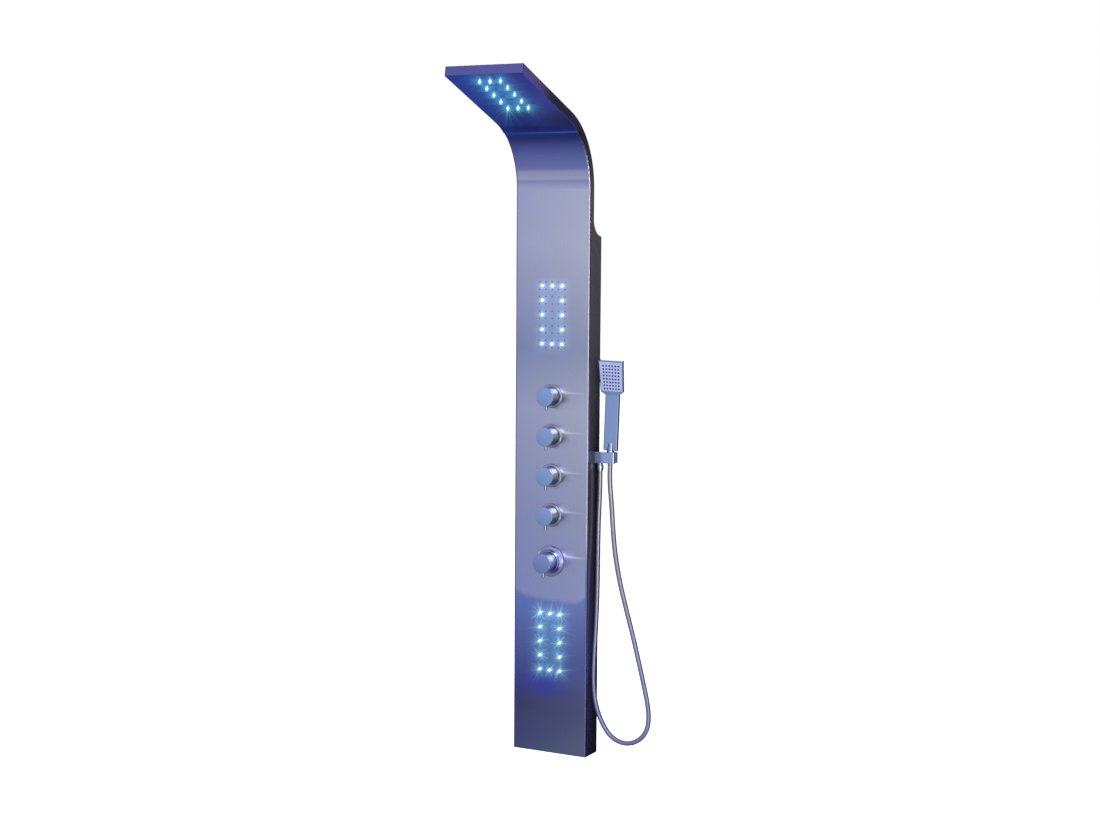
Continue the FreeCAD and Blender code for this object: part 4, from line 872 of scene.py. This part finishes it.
# holder chrome: painted blue light on the front faces, painted shade on the top and the right side
CHROME_BLUE = metal("chrome_holder", (0.40, 0.44, 0.60, 1.0), 0.12, 0.01, 900.0, light_tint=(0.215, 0.28, 0.54, 1.0), top=(0.06, 0.06, 0.10, 1.0), side=(0.07, 0.055, 0.085, 1.0), metallic=0.55)
BRASS = metal("brass", srgb(186, 160, 96), 0.3, 0.12, 500.0)
HOSE_STEEL = hose_metal("hose_steel")
PIN = pin_metal("pin_chrome")
# the nozzle rubber carries the lenses' painted glow as emission
NOZ = plastic("nozzle_rubber", srgb(74, 82, 132), 0.55, 0.25, 2000.0, lens_glow=0.8)
HOSE_BLACK = plastic("hose_rubber", srgb(30, 30, 32), 0.5, 0.3, 900.0)
CABLE = plastic("cable_black", srgb(22, 22, 24), 0.42, 0.2, 1500.0)
ABS = plastic("chamber_plastic", srgb(196, 198, 202), 0.45, 0.15, 1500.0)
DARK = plastic("dark_plastic", srgb(34, 35, 38), 0.42, 0.3, 1800.0)
ROTOR = plastic("rotor_plastic", srgb(214, 212, 204), 0.45, 0.15, 1500.0)
LENS = lens_lit("lens_lit")
BOARD = circuit("circuit_board")
BRAID = braid("braided_sleeve", 0.0028, srgb(176, 178, 184), srgb(70, 72, 78))
# handset: painted blue light on the front faces, painted shade on the top and the right side
HAND = metal("handset_satin", (0.30, 0.33, 0.52, 1.0), 0.16, 0.004, 900.0, light_tint=(0.20, 0.29, 0.56, 1.0), top=(0.035, 0.035, 0.075, 1.0), side=(0.06, 0.055, 0.10, 1.0), metallic=0.85)
HAND_FACE = plastic("handset_face", srgb(150, 163, 210), 0.28, 0.03, 1200.0, 0.05, 0.4)
HAND_NOZ = plastic("handset_nozzle_rubber", srgb(26, 34, 78), 0.5, 0.2, 2000.0, spec=0.05)
# rings in blue-cast chrome, with painted highlights and painted shade
ESC = escutcheon("valve_ring", VALVE_Z, (0.25, 0.28, 0.46, 1.0),
                 [(42, 12, 26.0, 1.8, (0.84, 0.98, 0.66), 0.30), (-14, 8, 27.4, 1.6, (0.80, 0.92, 0.40), 0.26), (14, 16, 28.0, 1.0, (0.75, 0.88, 0.55), 0.10)], (23.0, 23.9), 0.42, 0.10, (26.4, 28.2), 0.9)
MESC = escutcheon("mixer_ring", [MIX_Z], (0.22, 0.255, 0.49, 1.0),
                  [(44, 8, 27.4, 2.2, (0.95, 0.98, 1.0), 0.9), (6, 8, 35.0, 1.5, (0.95, 0.98, 1.0), 0.8), (30, 18, 33.4, 1.2, (0.7, 0.75, 0.95), 0.22),
                   (75, 28, 33.0, 1.0, (0.7, 0.75, 0.95), 0.22), (148, 10, 35.0, 1.3, (0.8, 0.85, 1.0), 0.40)], (24.2, 25.2), 0.30, 0.6, (36.8, 38.4), 0.85)

BY_SLOT = {
    "panel_steel": STEEL_FRONT, "side_steel": SIDE, "back_steel": BACK, "rail_steel": ZINC, "nozzle_rubber": NOZ,
    "chamber_plastic": ABS, "lens_clear": LENS, "board": BOARD, "brass": BRASS, "chrome": CHROME, "dark_plastic": DARK,
    "rotor_plastic": ROTOR, "hose_rubber": HOSE_BLACK, "braid_steel": BRAID, "cable_black": CABLE, "holder_chrome": CHROME_BLUE,
    "hose_steel": HOSE_STEEL, "handset_satin": HAND, "handset_face": HAND_FACE,
}
slot_of = {s["node"]: s["material_slot"] for s in frame["record"]["subparts"]}
for name, o in nodes.items():
    o.data.materials.clear()
    o.data.materials.append(BY_SLOT[slot_of[name]])
    # only the shading of the loaded solids is smoothed; no point is moved
    shade(o.data, 30.0)
nodes["handset_nozzles"].data.materials[0] = HAND_NOZ

# ---------------------------------------------------------------------------
# turned pieces with rounded edges
# ---------------------------------------------------------------------------


def rounded_profile(pts, n=5):
    """Profile with rounded corners: points are (r, y, radius)."""
    out = []
    for i, p in enumerate(pts):
        rad = p[2] if len(p) > 2 else 0.0
        if rad <= 0 or i == 0 or i == len(pts) - 1:
            out.append((p[0], p[1]))
            continue
        a = Vector((pts[i - 1][0] - p[0], pts[i - 1][1] - p[1]))
        b = Vector((pts[i + 1][0] - p[0], pts[i + 1][1] - p[1]))
        la, lb = a.length, b.length
        a.normalize()
        b.normalize()
        ang = a.angle(b)
        d = min(rad / math.tan(ang / 2.0), la * 0.49, lb * 0.49)
        r2 = d * math.tan(ang / 2.0)
        mid = (a + b).normalized()
        c = Vector((p[0], p[1])) + mid * (r2 / math.sin(ang / 2.0))
        s = Vector((p[0], p[1])) + a * d - c
        e = Vector((p[0], p[1])) + b * d - c
        for k in range(n + 1):
            t = k / n
            q = s.lerp(e, t)
            q.normalize()
            q = c + q * r2
            out.append((q.x, q.y))
    return out


KR, KF, KB = 23.0, -35.7, -4.3
for i, zc in enumerate(VALVE_Z):
    n = str(i + 1)
    prof = rounded_profile([(0, KF), (KR, KF, 0.8), (KR, KB, 0.6), (20.6, KB, 0.3), (20.6, KF + 5, 0.8), (8.0, KF + 5, 0.5), (8.0, -13.5, 0.4), (4.1, -13.5)])
    o = lathe("knob_cap_" + n, prof, 0.0, zc, 144, "knob_body_" + n, KNOB_FACE, 40.0)
    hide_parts("knob_" + n)
    nodes["knob_pin_" + n].data.materials[0] = PIN
prof = rounded_profile([(0, -47.0), (24.0, -47.0, 1.0), (24.0, -12.7, 0.6), (21.0, -12.7, 0.3), (21.0, -42.0, 0.8), (11.0, -42.0, 0.5), (11.0, -18.0, 0.4), (6.1, -18.0)])
o = lathe("mixer_cap", prof, 0.0, MIX_Z, 144, "mixer_knob_body", MIX_FACE, 40.0)
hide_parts("mixer_knob")
nodes["mixer_pin"].data.materials[0] = PIN

# four flat rings in one piece
rings = []
prof = rounded_profile([(10.2, -0.02), (10.2, -3.3, 0.2), (23.0, -3.3, 3.0), (27.4, -2.7, 2.0), (29.0, -1.2, 1.0), (29.0, -0.02)], 6)
for i, zc in enumerate(VALVE_Z):
    rings.append(lathe("valve_ring_%d" % (i + 1), prof, 0.0, zc, 144, None, ESC, 40.0, True))
first = rings[0]
bm = bmesh.new()
for r_ in rings:
    bm.from_mesh(r_.data)
bm.to_mesh(first.data)
bm.free()
for r_ in rings[1:]:
    me_ = r_.data
    bpy.data.objects.remove(r_)
    bpy.data.meshes.remove(me_)
first.name = "valve_rings"
shade(first.data, 40.0)
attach(first, "panel")
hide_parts("valve_escutcheons")

prof = rounded_profile([(18.2, -9.9), (18.2, -12.1, 0.3), (26.2, -12.1, 1.4), (28.4, -9.6, 1.6), (29.2, -6.6, 1.2), (31.2, -5.2, 1.0), (32.2, -5.5, 0.6), (33.6, -4.6, 0.8), (36.4, -3.9, 1.2), (38.0, -2.2, 0.8),
                        (38.0, -0.02, 0.2), (35.5, -0.02), (35.5, -1.8), (30.0, -3.2), (27.2, -5.2), (26.9, -9.9)], 5)
o = lathe("mixer_ring", prof, 0.0, MIX_Z, 160, "panel", MESC, 40.0, True)
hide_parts("mixer_escutcheon")

# ---------------------------------------------------------------------------
# the hose as one piece along its route
# ---------------------------------------------------------------------------
hose = link_object("shower_hose_wound", hose_mesh, None, HOSE_STEEL, None)
for p in hose_mesh.polygons:
    p.use_smooth = True
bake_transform(hose)
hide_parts("shower_hose")

# ---------------------------------------------------------------------------
# floor, background, light
# ---------------------------------------------------------------------------
bm = bmesh.new()
bmesh.ops.create_circle(bm, cap_ends=True, segments=96, radius=60.0)
me = bpy.data.meshes.new("floor")
bm.to_mesh(me)
bm.free()
floor = bpy.data.objects.new("floor", me)
scene.collection.objects.link(floor)
floor.location = (0.0, 0.0, -1.66)
F = Mat("floor_pale", 0.0, 0.8, (0.9, 0.9, 0.9, 1.0))
n = F.noise(2.0, 3.0, 0.5)
F.set("Base Color", F.mix(n, (0.90, 0.90, 0.905, 1.0), (0.93, 0.93, 0.93, 1.0)))
F.bsdf.inputs["Emission Color"].default_value = (1.0, 1.0, 1.0, 1.0)
F.bsdf.inputs["Emission Strength"].default_value = 0.55
me.materials.append(F.m)
floor.visible_glossy = False

world = bpy.data.worlds.new("world")
scene.world = world
world.use_nodes = True
nt = world.node_tree
nt.nodes.clear()


class W(Mat):
    def __init__(self, nt):
        self.nt = nt
        self.tc = nt.nodes.new("ShaderNodeTexCoord")
        self.obj = self.tc.outputs["Generated"]


w = W(nt)
dx, dy, dz = w.xyz()
az = w.math("ARCTAN2", dx, w.math("MULTIPLY", dy, -1.0))
azn = w.math("ADD", w.math("DIVIDE", az, 2 * math.pi), 0.5)


def grey(v, t=(1.0, 1.0, 1.0)):
    return (v * t[0], v * t[1], v * t[2], 1.0)


def at_az(deg):
    return deg / 360.0 + 0.5


horizon = w.ramp(azn, [(0.0, grey(0.10)), (at_az(-130), grey(0.14)), (at_az(-108), grey(0.45)), (at_az(-62), grey(0.95)), (at_az(-20), grey(1.0)), (at_az(22), grey(1.0)),
                       (at_az(62), grey(0.9)), (at_az(80), grey(0.6)), (at_az(95), grey(0.22)), (at_az(120), grey(0.04)), (at_az(165), grey(0.04)), (1.0, grey(0.10))])
el = w.ramp(w.remap(dz, -1.0, 1.0, 0.0, 1.0), [(0.0, grey(0.55)), (0.35, grey(0.75)), (0.5, grey(1.0)), (0.7, grey(1.0)), (1.0, grey(1.1))])
env = w.mix(1.0, horizon, el, "MULTIPLY")
# one tall soft window to the right of the camera
strip = w.math("MULTIPLY", w.gauss(w.math("SUBTRACT", az, math.radians(44.0)), math.radians(9.0)), w.math("MULTIPLY", w.remap(dz, -0.75, -0.45, 0.0, 1.0, True), w.remap(dz, 0.75, 0.9, 1.0, 0.0, True)))
env = w.mix(1.0, env, w.vmath("SCALE", (1.0, 0.99, 1.0), scale=w.math("MULTIPLY", strip, 4.5)), "ADD")
lp = nt.nodes.new("ShaderNodeLightPath")
b1 = nt.nodes.new("ShaderNodeBackground")
w.link(env, b1.inputs["Color"])
b1.inputs["Strength"].default_value = 1.0
b2 = nt.nodes.new("ShaderNodeBackground")
b2.inputs["Color"].default_value = (1.0, 1.0, 1.0, 1.0)
b2.inputs["Strength"].default_value = 1.0
mx = nt.nodes.new("ShaderNodeMixShader")
nt.links.new(lp.outputs["Is Camera Ray"], mx.inputs[0])
nt.links.new(b1.outputs[0], mx.inputs[1])
nt.links.new(b2.outputs[0], mx.inputs[2])
wo = nt.nodes.new("ShaderNodeOutputWorld")
nt.links.new(mx.outputs[0], wo.inputs[0])


def area(name, loc, target, size, power, color=(1.0, 1.0, 1.0)):
    d = bpy.data.lights.new(name, "AREA")
    d.shape = "RECTANGLE"
    d.size, d.size_y = size
    d.energy = power
    d.color = color
    o = bpy.data.objects.new(name, d)
    scene.collection.objects.link(o)
    o.location = loc
    o.rotation_euler = (Vector(target) - Vector(loc)).to_track_quat("-Z", "Y").to_euler()
    return o


area("key", (2.4, -2.6, 2.2), (0.0, 0.0, -0.4), (0.5, 0.5), 12.0)
area("rear", (-2.0, 3.0, 1.2), (0.0, 0.0, -0.3), (1.6, 2.4), 60.0)

scene.view_settings.view_transform = "Standard"
scene.view_settings.look = "None"

# ---------------------------------------------------------------------------
# the camera's own glare round the lit lenses
# ---------------------------------------------------------------------------
scene.use_nodes = True
ct = scene.node_tree
ct.nodes.clear()
rl = ct.nodes.new("CompositorNodeRLayers")
comp = ct.nodes.new("CompositorNodeComposite")


def glare(kind, src, **values):
    g = ct.nodes.new("CompositorNodeGlare")
    g.glare_type = kind
    g.quality = "HIGH"
    ct.links.new(src, g.inputs["Image"])
    for k, v in values.items():
        k = k.replace("_", " ")
        if k in g.inputs:
            g.inputs[k].default_value = v
    return g.outputs["Image"]


img = glare("STREAKS", rl.outputs["Image"], Threshold=1.5, Strength=0.12, Streaks=6, Streaks_Angle=0.2, Iterations=2, Fade=0.8, Saturation=1.0, Tint=(0.6, 0.9, 1.0, 1.0), Color_Modulation=0.0)
img = glare("BLOOM", img, Threshold=1.5, Strength=0.14, Size=0.15, Tint=(0.5, 0.85, 1.0, 1.0))
ct.links.new(img, comp.inputs["Image"])
